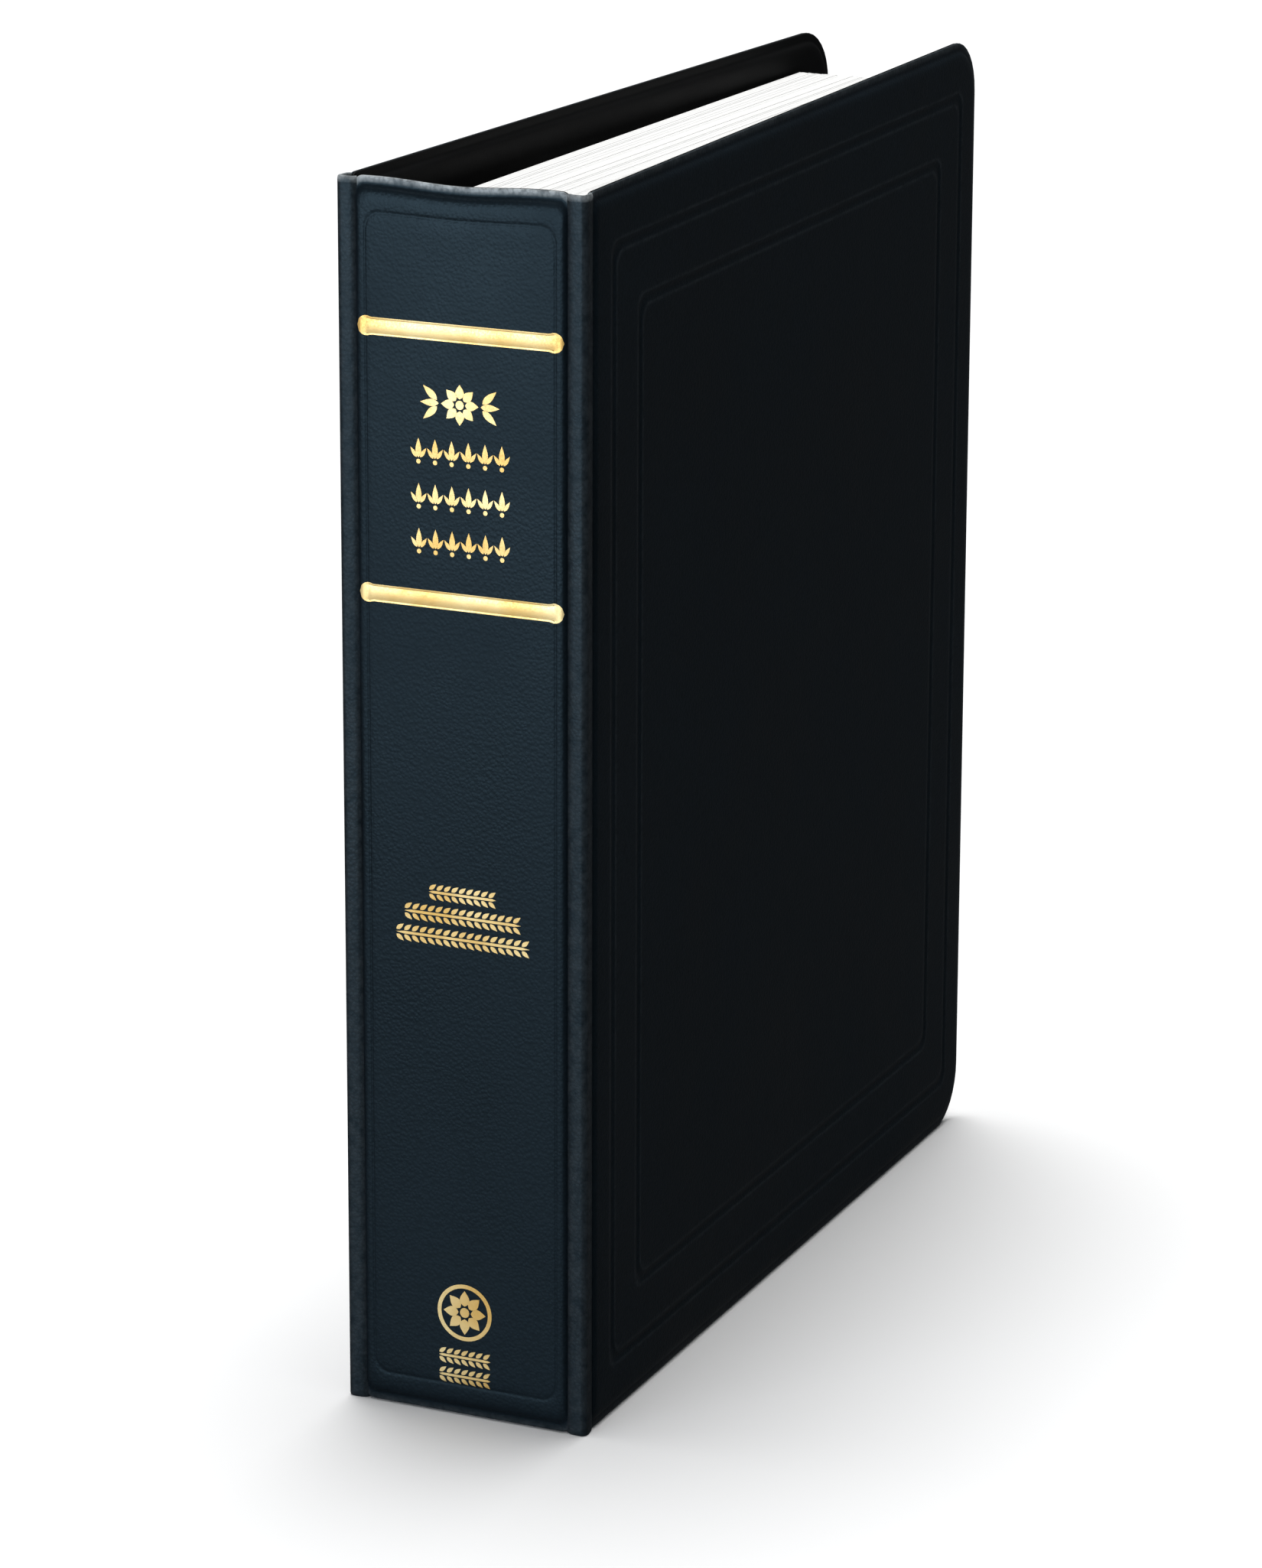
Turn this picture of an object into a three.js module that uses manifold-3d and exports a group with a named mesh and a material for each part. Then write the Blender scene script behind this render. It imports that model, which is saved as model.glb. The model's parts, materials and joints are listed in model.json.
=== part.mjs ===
// A loose-leaf binder for 7 x 10 inch leaves, standing upright and closed.
// Black heat-sealed vinyl case, three D-shaped rings on a steel housing,
// and a block of punched leaves.
//
// Units are millimetres, +Z is up, +X runs from the spine to the fore-edge,
// and +Y points out of the back cover.  The model is drawn with the outer
// corner of the back hinge at x = 0, y = 0 and the bottom edges at z = 0, and
// is then shifted so that the middle of its underside is the origin.

import * as THREE from 'three';
import { mergeVertices } from 'three/addons/utils/BufferGeometryUtils.js';
import Module from 'manifold-3d';

const wasm = await Module();
wasm.setup();

// Case
const CASE_HEIGHT = 267;
const COVER_WIDTH = 226.7;
const CASE_THICKNESS = 57.1;
const PANEL_THICKNESS = 3.3;
const HALF_PANEL = PANEL_THICKNESS / 2;
const SPINE_LEAN = THREE.MathUtils.degToRad(3.5);
const FRONT_LEAN = THREE.MathUtils.degToRad(0.76);
const HINGE_SPACING = CASE_THICKNESS - PANEL_THICKNESS;
const HINGE_GAP = 2.5;
const HINGE_WELD_RADIUS = 1.4;
const COVER_CORNER_RADIUS = 13;
const SPINE_CORNER_RADIUS = 2;

// Layers of one panel, from its outer face inwards
const SKIN_THICKNESS = 0.6;
const LINER_THICKNESS = 0.5;
const GLUE_GAP = 0.05;
const WELD_WIDTH = 3;
const SMALLEST_CORNER_RADIUS = 0.5;

// Gilt rules across the spine
const RULE_LENGTH = 46.8;
const RULE_HEIGHT = 3.9;
const FOIL_THICKNESS = 0.15;
const UPPER_RULE_Z = 236.5;
const LOWER_RULE_Z = 180.1;

// Ring mechanism
const RING_HEIGHTS = { bottom: 25, middle: CASE_HEIGHT / 2, top: CASE_HEIGHT - 25 };
const RING_RADIUS = 13;
const WIRE_RADIUS = 2;
const RING_CENTRE_X = 29;
const RING_CENTRE_Y = -35.6;
const RING_PARTING_ANGLE = THREE.MathUtils.degToRad(115);
const RING_PARTING_GAP = THREE.MathUtils.degToRad(1.5);
const POST_X = RING_CENTRE_X + RING_RADIUS;
const SHAFT_X = RING_CENTRE_X - RING_RADIUS;
const SHAFT_Y = -6.3;
const SHAFT_RADIUS = 1.5;
const SHAFT_END_GAP = 5;
const WELD_GAP = 0.1;

// Housing, a steel channel that opens towards the back cover
const HOUSING_LEFT = 11;
const HOUSING_RIGHT = 46;
const HOUSING_TOP_Y = -9.3;
const HOUSING_WALL = 0.9;
const HOUSING_CHAMFER = 2;
const HOUSING_BOTTOM_Z = 15.5;
const HOUSING_TOP_Z = CASE_HEIGHT - HOUSING_BOTTOM_Z;
const SLOT_LEFT = 12.5;
const SLOT_RIGHT = 18.6;
const SLOT_WIDTH = 5.2;

// Rivets that hold the housing to the back board
const RIVET_X = 23;
const RIVET_HEIGHTS = { bottom: 45, top: CASE_HEIGHT - 45 };
const RIVET_SHANK_RADIUS = 1.8;
const RIVET_HEAD_RADIUS = 3.5;
const RIVET_CLEARANCE = 0.3;
const RIVET_HEAD_THICKNESS = 0.7;
const RIVET_DOME_HEIGHT = 1.4;
const RIVET_DOME_STEPS = 4;

// Levers that open the rings
const LEVER_LEFT = 13;
const LEVER_WIDTH = 13;
const LEVER_PIVOT_Y = -6.2;
const LEVER_PIVOT_GAP = 0.9;
// Outline of the bent sheet: [distance up from the pivot, distance out from it]
const LEVER_SECTION = [
  [-0.7, -2.3],
  [-0.7, 1.4],
  [12, 1.4],
  [15.4, 3.4],
  [16.1, 2.1],
  [12.6, 0],
  [0.7, 0],
  [0.7, -2.3],
];

// Leaves
const LEAF_WIDTH = 178;
const LEAF_HEIGHT = 254;
const LEAF_BOTTOM_Z = 5;
const LEAF_HOLE_INSET = 12.7;
const LEAF_HOLE_RADIUS = 3;
const LEAF_LEAN = THREE.MathUtils.degToRad(2);
const LEAF_CORNER_RADIUS = 1;
const PACKET_COUNT = 6;
const PACKET_THICKNESS = 3.95;
const PACKET_GAP = 0.15;
const TURNING_THICKNESS = 4;
const BLOCK_REAR_Y = -9.75;
const LIFTER_THICKNESS = 0.5;
const LIFTER_WIDTH = 52;
const LIFTER_INSET = 3;

// Smoothness
const ROUND_STEPS = 16;
const CORNER_STEPS = 6;
const WIRE_SIDES = 10;
const WIRE_STEPS = 20;
const CUT_MARGIN = 2;

const materials = {
  vinyl: { color: 0x15181b, roughness: 0.5, metalness: 0 },
  liner: { color: 0x1a1c1f, roughness: 0.55, metalness: 0 },
  board: { color: 0x8d8578, roughness: 0.9, metalness: 0 },
  foil: { color: 0xe0c078, roughness: 0.3, metalness: 1 },
  steel: { color: 0xc9ccd0, roughness: 0.25, metalness: 1 },
  paper: { color: 0xf3f1ea, roughness: 0.85, metalness: 0 },
  lifter: { color: 0x101214, roughness: 0.4, metalness: 0 },
};

// Solids -----------------------------------------------------------------

function toSolid(geometry) {
  const bare = geometry.index ? geometry.toNonIndexed() : geometry.clone();
  bare.deleteAttribute('normal');
  bare.deleteAttribute('uv');
  const merged = mergeVertices(bare, 1e-4);
  return new wasm.Manifold(new wasm.Mesh({
    numProp: 3,
    vertProperties: new Float32Array(merged.attributes.position.array),
    triVerts: new Uint32Array(merged.index.array),
  }));
}

function toGeometry(solid) {
  const mesh = solid.getMesh();
  const geometry = new THREE.BufferGeometry();
  geometry.setAttribute('position', new THREE.BufferAttribute(mesh.vertProperties, 3));
  geometry.setIndex(new THREE.BufferAttribute(mesh.triVerts, 1));
  geometry.computeVertexNormals();
  return geometry;
}

function cutAway(geometry, cutters) {
  let solid = toSolid(geometry);
  for (const cutter of cutters) {
    solid = solid.subtract(toSolid(cutter));
  }
  return toGeometry(solid);
}

function named(name, geometry, material) {
  const mesh = new THREE.Mesh(geometry, new THREE.MeshStandardMaterial(material));
  mesh.name = name;
  return mesh;
}

// A rectangle in X and Z whose left and right corners have their own radii.
function plateOutline(left, right, bottom, top, leftRadius, rightRadius) {
  const quarter = Math.PI / 2;
  const shape = new THREE.Shape();
  shape.moveTo(left + leftRadius, bottom);
  shape.lineTo(right - rightRadius, bottom);
  shape.absarc(right - rightRadius, bottom + rightRadius, rightRadius, -quarter, 0);
  shape.lineTo(right, top - rightRadius);
  shape.absarc(right - rightRadius, top - rightRadius, rightRadius, 0, quarter);
  shape.lineTo(left + leftRadius, top);
  shape.absarc(left + leftRadius, top - leftRadius, leftRadius, quarter, 2 * quarter);
  shape.lineTo(left, bottom + leftRadius);
  shape.absarc(left + leftRadius, bottom + leftRadius, leftRadius, 2 * quarter, 3 * quarter);
  return shape;
}

// A flat plate that stands upright: its outline is in X and Z, and it reaches
// from outerY towards -Y by its thickness.
function uprightPlate(shape, outerY, thickness) {
  const plate = new THREE.ExtrudeGeometry(shape, {
    depth: thickness,
    bevelEnabled: false,
    curveSegments: CORNER_STEPS,
  });
  plate.rotateX(Math.PI / 2);
  plate.translate(0, outerY, 0);
  return plate;
}

function cylinderAlongY(radius, x, z, fromY, toY) {
  const cylinder = new THREE.CylinderGeometry(radius, radius, Math.abs(toY - fromY), ROUND_STEPS);
  cylinder.translate(x, (fromY + toY) / 2, z);
  return cylinder;
}

function box(left, right, front, back, bottom, top) {
  const block = new THREE.BoxGeometry(right - left, back - front, top - bottom);
  block.translate((left + right) / 2, (front + back) / 2, (bottom + top) / 2);
  return block;
}

// Case panels --------------------------------------------------------------

// Each panel is a vinyl skin with a raised welded edge, a board in the recess
// of that edge, and a vinyl liner over both.  It is drawn with its outer face
// at y = 0 and its inner face at y = -PANEL_THICKNESS.
function makePanel(name, left, right, leftRadius, rightRadius, rivetHeights) {
  const linerOuterY = -(PANEL_THICKNESS - LINER_THICKNESS);
  const skinDepth = -linerOuterY - GLUE_GAP;
  const outline = plateOutline(left, right, 0, CASE_HEIGHT, leftRadius, rightRadius);

  const inset = (gap) => plateOutline(
    left + gap,
    right - gap,
    gap,
    CASE_HEIGHT - gap,
    Math.max(leftRadius - gap, SMALLEST_CORNER_RADIUS),
    Math.max(rightRadius - gap, SMALLEST_CORNER_RADIUS),
  );
  const recess = uprightPlate(inset(WELD_WIDTH), -SKIN_THICKNESS, skinDepth + CUT_MARGIN);
  const skin = cutAway(uprightPlate(outline, 0, skinDepth), [recess]);

  const boardThickness = skinDepth - SKIN_THICKNESS - GLUE_GAP;
  const board = cutAway(
    uprightPlate(inset(WELD_WIDTH + WELD_GAP), -SKIN_THICKNESS - GLUE_GAP, boardThickness),
    rivetHeights.map((z) => cylinderAlongY(
      RIVET_HEAD_RADIUS + RIVET_CLEARANCE, RIVET_X, z, 0, -PANEL_THICKNESS,
    )),
  );
  const liner = cutAway(
    uprightPlate(outline, linerOuterY, LINER_THICKNESS),
    rivetHeights.map((z) => cylinderAlongY(
      RIVET_SHANK_RADIUS + RIVET_CLEARANCE, RIVET_X, z, 0, -PANEL_THICKNESS - CUT_MARGIN,
    )),
  );

  const panel = new THREE.Group();
  panel.add(named(`${name}_skin`, skin, materials.vinyl));
  panel.add(named(`${name}_board`, board, materials.board));
  panel.add(named(`${name}_liner`, liner, materials.liner));
  return panel;
}

function makeBackCover() {
  const firstEdge = HALF_PANEL + HINGE_GAP;
  return makePanel(
    'back_cover',
    firstEdge,
    COVER_WIDTH,
    SPINE_CORNER_RADIUS,
    COVER_CORNER_RADIUS,
    Object.values(RIVET_HEIGHTS),
  );
}

// The front cover is drawn about its hinge axis, with its outer face towards -Y.
function makeFrontCover() {
  const panel = makePanel(
    'front_cover',
    HINGE_GAP,
    COVER_WIDTH - HALF_PANEL,
    SPINE_CORNER_RADIUS,
    COVER_CORNER_RADIUS,
    [],
  );
  panel.rotation.x = Math.PI;
  panel.position.set(0, -HALF_PANEL, CASE_HEIGHT);
  return panel;
}

// A flexible weld between two panels, drawn on its hinge axis.
function makeHingeWeld(name) {
  const weld = new THREE.CylinderGeometry(
    HINGE_WELD_RADIUS, HINGE_WELD_RADIUS, CASE_HEIGHT, ROUND_STEPS,
  );
  weld.rotateX(Math.PI / 2);
  weld.translate(0, 0, CASE_HEIGHT / 2);
  return named(name, weld, materials.vinyl);
}

function makeGiltRule(name, height) {
  const middle = -HINGE_SPACING / 2;
  const outer = -HALF_PANEL - GLUE_GAP;
  const rule = box(
    outer - FOIL_THICKNESS,
    outer,
    middle - RULE_LENGTH / 2,
    middle + RULE_LENGTH / 2,
    height - RULE_HEIGHT / 2,
    height + RULE_HEIGHT / 2,
  );
  return named(name, rule, materials.foil);
}

// The spine is drawn about the back hinge axis, with its outer face towards -X.
function makeSpine() {
  const spine = new THREE.Group();
  const panel = makePanel(
    'spine',
    HINGE_GAP,
    HINGE_SPACING - HINGE_GAP,
    SPINE_CORNER_RADIUS,
    SPINE_CORNER_RADIUS,
    [],
  );
  panel.rotation.set(Math.PI, 0, Math.PI / 2);
  panel.position.set(-HALF_PANEL, 0, CASE_HEIGHT);
  spine.add(panel);
  spine.add(makeHingeWeld('back_hinge_weld'));
  spine.add(makeGiltRule('upper_gilt_rule', UPPER_RULE_Z));
  spine.add(makeGiltRule('lower_gilt_rule', LOWER_RULE_Z));

  const frontHinge = new THREE.Group();
  frontHinge.position.y = -HINGE_SPACING;
  frontHinge.rotation.z = FRONT_LEAN;
  frontHinge.add(makeHingeWeld('front_hinge_weld'));
  frontHinge.add(makeFrontCover());
  spine.add(frontHinge);

  spine.position.set(HALF_PANEL, -HALF_PANEL, 0);
  spine.rotation.z = SPINE_LEAN;
  return spine;
}

// Ring mechanism -----------------------------------------------------------

// A straight leg along -Y, followed by an arc about the ring's centre.
// Angles are measured from +X towards -Y.
class RingWireCurve extends THREE.Curve {
  constructor(footX, footY, startAngle, endAngle, z) {
    super();
    this.foot = new THREE.Vector3(footX, footY, z);
    this.startAngle = startAngle;
    this.endAngle = endAngle;
    this.legLength = footY - RING_CENTRE_Y;
    this.arcLength = Math.abs(endAngle - startAngle) * RING_RADIUS;
  }

  getPoint(t) {
    const distance = t * (this.legLength + this.arcLength);
    if (distance <= this.legLength) {
      return this.foot.clone().add(new THREE.Vector3(0, -distance, 0));
    }
    const share = (distance - this.legLength) / this.arcLength;
    const angle = THREE.MathUtils.lerp(this.startAngle, this.endAngle, share);
    return new THREE.Vector3(
      RING_CENTRE_X + RING_RADIUS * Math.cos(angle),
      RING_CENTRE_Y - RING_RADIUS * Math.sin(angle),
      this.foot.z,
    );
  }
}

function roundSection(radius, sides) {
  const corners = [];
  for (let i = 0; i < sides; i += 1) {
    const angle = (2 * Math.PI * i) / sides;
    corners.push(new THREE.Vector2(radius * Math.cos(angle), radius * Math.sin(angle)));
  }
  return new THREE.Shape(corners);
}

function wireAlong(path) {
  return new THREE.ExtrudeGeometry(roundSection(WIRE_RADIUS, WIRE_SIDES), {
    steps: WIRE_STEPS,
    bevelEnabled: false,
    extrudePath: path,
  });
}

function makeRingPost(place, z) {
  const path = new RingWireCurve(POST_X, HOUSING_TOP_Y, 0, RING_PARTING_ANGLE, z);
  return named(`ring_post_${place}`, wireAlong(path), materials.steel);
}

function makeRingArc(place, z) {
  const foot = SHAFT_Y - SHAFT_RADIUS - WELD_GAP;
  const tip = RING_PARTING_ANGLE + RING_PARTING_GAP;
  const path = new RingWireCurve(SHAFT_X, foot, Math.PI, tip, z);
  return named(`ring_arc_${place}`, wireAlong(path), materials.steel);
}

function makeSwingShaft() {
  const length = HOUSING_TOP_Z - HOUSING_BOTTOM_Z - 2 * SHAFT_END_GAP;
  const shaft = new THREE.CylinderGeometry(SHAFT_RADIUS, SHAFT_RADIUS, length, ROUND_STEPS);
  shaft.rotateX(Math.PI / 2);
  shaft.translate(SHAFT_X, SHAFT_Y, CASE_HEIGHT / 2);
  return named('swing_shaft', shaft, materials.steel);
}

function makeHousing() {
  const base = -PANEL_THICKNESS - GLUE_GAP;
  const underside = HOUSING_TOP_Y + HOUSING_WALL;
  const section = new THREE.Shape([
    new THREE.Vector2(HOUSING_LEFT, base),
    new THREE.Vector2(HOUSING_LEFT, HOUSING_TOP_Y + HOUSING_CHAMFER),
    new THREE.Vector2(HOUSING_LEFT + HOUSING_CHAMFER, HOUSING_TOP_Y),
    new THREE.Vector2(HOUSING_RIGHT - HOUSING_CHAMFER, HOUSING_TOP_Y),
    new THREE.Vector2(HOUSING_RIGHT, HOUSING_TOP_Y + HOUSING_CHAMFER),
    new THREE.Vector2(HOUSING_RIGHT, base),
    new THREE.Vector2(HOUSING_RIGHT - HOUSING_WALL, base),
    new THREE.Vector2(HOUSING_RIGHT - HOUSING_WALL, underside + HOUSING_CHAMFER),
    new THREE.Vector2(HOUSING_RIGHT - HOUSING_CHAMFER, underside),
    new THREE.Vector2(HOUSING_LEFT + HOUSING_CHAMFER, underside),
    new THREE.Vector2(HOUSING_LEFT + HOUSING_WALL, underside + HOUSING_CHAMFER),
    new THREE.Vector2(HOUSING_LEFT + HOUSING_WALL, base),
  ]);
  const channel = new THREE.ExtrudeGeometry(section, {
    depth: HOUSING_TOP_Z - HOUSING_BOTTOM_Z,
    bevelEnabled: false,
  });
  channel.translate(0, 0, HOUSING_BOTTOM_Z);

  const slots = Object.values(RING_HEIGHTS).map((z) => box(
    SLOT_LEFT,
    SLOT_RIGHT,
    HOUSING_TOP_Y - CUT_MARGIN,
    underside + CUT_MARGIN,
    z - SLOT_WIDTH / 2,
    z + SLOT_WIDTH / 2,
  ));
  const rivetHoles = Object.values(RIVET_HEIGHTS).map((z) => cylinderAlongY(
    RIVET_SHANK_RADIUS + RIVET_CLEARANCE, RIVET_X, z, -PANEL_THICKNESS, HOUSING_TOP_Y - CUT_MARGIN,
  ));
  return named('ring_housing', cutAway(channel, [...slots, ...rivetHoles]), materials.steel);
}

// A rivet with a flat head buried in the back board and a domed head on the housing.
function makeRivet(place, z) {
  const buriedFace = -SKIN_THICKNESS - 3 * GLUE_GAP;
  const domeBase = HOUSING_TOP_Y - WELD_GAP;
  const profile = [new THREE.Vector2(0, domeBase - RIVET_DOME_HEIGHT)];
  for (let i = 1; i <= RIVET_DOME_STEPS; i += 1) {
    const angle = (Math.PI / 2) * (i / RIVET_DOME_STEPS);
    profile.push(new THREE.Vector2(
      RIVET_HEAD_RADIUS * Math.sin(angle),
      domeBase - RIVET_DOME_HEIGHT * Math.cos(angle),
    ));
  }
  profile.push(new THREE.Vector2(RIVET_SHANK_RADIUS, domeBase));
  profile.push(new THREE.Vector2(RIVET_SHANK_RADIUS, buriedFace - RIVET_HEAD_THICKNESS));
  profile.push(new THREE.Vector2(RIVET_HEAD_RADIUS, buriedFace - RIVET_HEAD_THICKNESS));
  profile.push(new THREE.Vector2(RIVET_HEAD_RADIUS, buriedFace));
  profile.push(new THREE.Vector2(0, buriedFace));
  const rivet = new THREE.LatheGeometry(profile, ROUND_STEPS);
  rivet.translate(RIVET_X, 0, z);
  return named(`housing_rivet_${place}`, rivet, materials.steel);
}

// A lever of bent sheet: a short foot in the housing's mouth, an upright, and
// a flared thumb tab.  side is +1 at the top end and -1 at the bottom end.
function makeLever(place, side) {
  const section = new THREE.Shape(LEVER_SECTION.map(([up, out]) => new THREE.Vector2(up, out)));
  const lever = new THREE.ExtrudeGeometry(section, { depth: LEVER_WIDTH, bevelEnabled: false });
  // The section's first axis becomes -Y, its second +Z, and its depth runs along +X.
  const turn = new THREE.Matrix4().makeBasis(
    new THREE.Vector3(0, -1, 0),
    new THREE.Vector3(0, 0, 1),
    new THREE.Vector3(-1, 0, 0),
  );
  lever.applyMatrix4(turn);
  lever.translate(LEVER_LEFT + LEVER_WIDTH, 0, 0);
  const mesh = named(`${place}_lever`, lever, materials.steel);
  mesh.position.y = LEVER_PIVOT_Y;
  if (side > 0) {
    mesh.position.z = HOUSING_TOP_Z + LEVER_PIVOT_GAP;
  } else {
    mesh.rotation.y = Math.PI;
    mesh.position.x = 2 * LEVER_LEFT + LEVER_WIDTH;
    mesh.position.z = HOUSING_BOTTOM_Z - LEVER_PIVOT_GAP;
  }
  return mesh;
}

function makeRingMechanism() {
  const mechanism = new THREE.Group();
  mechanism.add(makeHousing());
  mechanism.add(makeSwingShaft());
  for (const [place, z] of Object.entries(RING_HEIGHTS)) {
    mechanism.add(makeRingPost(place, z));
    mechanism.add(makeRingArc(place, z));
  }
  for (const [place, z] of Object.entries(RIVET_HEIGHTS)) {
    mechanism.add(makeRivet(place, z));
  }
  mechanism.add(makeLever('top', 1));
  mechanism.add(makeLever('bottom', -1));
  return mechanism;
}

// Leaves ---------------------------------------------------------------------

// Leaves are drawn about the post: x = 0 is the line of the holes, and y = 0 is
// the rear face of the block.
function leafPlate(width, bottom, top, rearY, thickness) {
  const left = -LEAF_HOLE_INSET;
  const outline = plateOutline(
    left, left + width, bottom, top, LEAF_CORNER_RADIUS, LEAF_CORNER_RADIUS,
  );
  return uprightPlate(outline, rearY, thickness);
}

function straightHoles(rearY, thickness) {
  return Object.values(RING_HEIGHTS).map((z) => cylinderAlongY(
    LEAF_HOLE_RADIUS, 0, z, rearY + CUT_MARGIN, rearY - thickness - CUT_MARGIN,
  ));
}

// Holes for the turning leaves are bent like the ring, so that they can slide
// along it.  They are drawn in the leaves' own frame.
function bentHoles(centre) {
  return Object.values(RING_HEIGHTS).map((z) => {
    const ring = new THREE.TorusGeometry(RING_RADIUS, LEAF_HOLE_RADIUS, ROUND_STEPS, 2 * ROUND_STEPS);
    ring.translate(centre.x, centre.y, z);
    return ring;
  });
}

function makeLeafBlock() {
  const block = new THREE.Group();
  block.position.set(POST_X, BLOCK_REAR_Y, 0);
  block.rotation.z = LEAF_LEAN;

  const lifter = cutAway(
    leafPlate(
      LIFTER_WIDTH,
      LEAF_BOTTOM_Z + LIFTER_INSET,
      LEAF_BOTTOM_Z + LEAF_HEIGHT - LIFTER_INSET,
      0,
      LIFTER_THICKNESS,
    ),
    straightHoles(0, LIFTER_THICKNESS),
  );
  block.add(named('rear_sheet_lifter', lifter, materials.lifter));

  let rearY = -LIFTER_THICKNESS - PACKET_GAP;
  for (let i = 1; i <= PACKET_COUNT; i += 1) {
    const packet = cutAway(
      leafPlate(LEAF_WIDTH, LEAF_BOTTOM_Z, LEAF_BOTTOM_Z + LEAF_HEIGHT, rearY, PACKET_THICKNESS),
      straightHoles(rearY, PACKET_THICKNESS),
    );
    block.add(named(`leaf_packet_${i}`, packet, materials.paper));
    rearY -= PACKET_THICKNESS + PACKET_GAP;
  }

  const centre = new THREE.Vector3(RING_CENTRE_X, RING_CENTRE_Y, 0)
    .sub(block.position)
    .applyAxisAngle(new THREE.Vector3(0, 0, 1), -LEAF_LEAN);
  const turning = cutAway(
    leafPlate(LEAF_WIDTH, LEAF_BOTTOM_Z, LEAF_BOTTOM_Z + LEAF_HEIGHT, rearY, TURNING_THICKNESS),
    bentHoles(centre),
  );
  block.add(named('turning_leaves', turning, materials.paper));
  return block;
}

// Assembly ---------------------------------------------------------------------

function makeBinder() {
  const drawing = new THREE.Group();
  drawing.add(makeBackCover());
  drawing.add(makeSpine());
  drawing.add(makeRingMechanism());
  drawing.add(makeLeafBlock());

  const binder = new THREE.Group();
  binder.add(drawing);
  binder.updateMatrixWorld(true);
  const extent = new THREE.Box3().setFromObject(drawing, true);
  const middle = extent.getCenter(new THREE.Vector3());
  drawing.position.set(-middle.x, -middle.y, -extent.min.z);
  return binder;
}

export default makeBinder();
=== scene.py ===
"""A black vinyl loose-leaf binder, standing closed: its looks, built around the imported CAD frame.

Lengths are in metres, in the frame's own axes: +X from the spine to the fore-edge, +Y out
of the back cover, +Z up. The lists that are in millimetres say so.
"""

import json
import math
import random

import bpy
from mathutils import Matrix, Vector, noise
from mathutils.geometry import tessellate_polygon


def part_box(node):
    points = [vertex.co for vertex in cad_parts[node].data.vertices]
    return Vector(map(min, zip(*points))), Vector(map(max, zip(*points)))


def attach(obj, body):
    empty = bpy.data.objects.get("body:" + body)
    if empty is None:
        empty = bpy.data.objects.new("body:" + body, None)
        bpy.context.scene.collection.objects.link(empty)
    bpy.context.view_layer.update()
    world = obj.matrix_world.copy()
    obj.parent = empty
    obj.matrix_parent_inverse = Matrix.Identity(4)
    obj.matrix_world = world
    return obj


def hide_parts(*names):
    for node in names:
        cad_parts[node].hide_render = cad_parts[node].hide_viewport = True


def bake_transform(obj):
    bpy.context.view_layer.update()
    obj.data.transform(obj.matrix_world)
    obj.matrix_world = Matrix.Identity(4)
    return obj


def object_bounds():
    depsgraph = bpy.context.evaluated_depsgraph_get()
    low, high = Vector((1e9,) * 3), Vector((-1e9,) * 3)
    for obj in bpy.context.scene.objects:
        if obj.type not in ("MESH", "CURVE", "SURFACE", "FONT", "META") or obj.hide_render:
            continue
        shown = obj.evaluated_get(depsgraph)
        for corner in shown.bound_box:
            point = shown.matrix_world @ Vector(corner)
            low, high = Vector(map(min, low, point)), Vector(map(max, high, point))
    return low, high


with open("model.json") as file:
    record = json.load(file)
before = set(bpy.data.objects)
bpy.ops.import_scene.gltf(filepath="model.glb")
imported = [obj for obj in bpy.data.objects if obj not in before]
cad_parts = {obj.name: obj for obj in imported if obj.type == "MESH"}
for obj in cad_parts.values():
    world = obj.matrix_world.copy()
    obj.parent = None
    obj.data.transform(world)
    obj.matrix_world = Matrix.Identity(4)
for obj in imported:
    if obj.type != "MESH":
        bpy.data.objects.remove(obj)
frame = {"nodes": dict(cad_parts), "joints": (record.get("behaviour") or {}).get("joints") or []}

CAD_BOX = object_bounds()
MM = 0.001


# ---- driving sizes ---------------------------

JOINTS = {joint["name"]: joint for joint in frame["joints"]}
BACK_HINGE = Vector(JOINTS["spine_hinge"]["pos_m"])
FRONT_HINGE = Vector(JOINTS["cover_hinge"]["pos_m"])
RING_CENTRE = Vector(JOINTS["leaf_turn"]["pos_m"])
SHAFT_AXIS = Vector(JOINTS["ring_swing"]["pos_m"])

PANELS = ("back_cover", "spine", "front_cover")
CASE_HEIGHT = CAD_BOX[1].z - CAD_BOX[0].z
HINGE_GAP = 2.5 * MM
COVER_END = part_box("back_cover_skin")[1].x - BACK_HINGE.x
SPINE_WIDTH = (FRONT_HINGE - BACK_HINGE).to_2d().length
FRONT_LEAN = math.radians(4.26)
LEAF_LEAN = math.radians(2)

COVER_CORNER = 13 * MM
PANEL_CORNER = 2 * MM
WELD_CORNER = 3.5 * MM
WELD_INSET = 7 * MM

RING_RADIUS = RING_CENTRE.x - SHAFT_AXIS.x
WIRE_RADIUS = 2 * MM
RING_PARTING = math.radians(115)
RING_TIP_GAP = math.radians(1.5)
POST_X = RING_CENTRE.x + RING_RADIUS


def middle_height(node):
    """How high the middle of a CAD node lies at rest."""
    low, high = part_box(node)
    return (low.z + high.z) / 2


RING_HEIGHTS = {place: middle_height(f"ring_post_{place}") for place in ("bottom", "middle", "top")}


# ---- helpers ---------------------------------

def add_object(name, data):
    thing = bpy.data.objects.new(name, data)
    bpy.context.scene.collection.objects.link(thing)
    return thing


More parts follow.
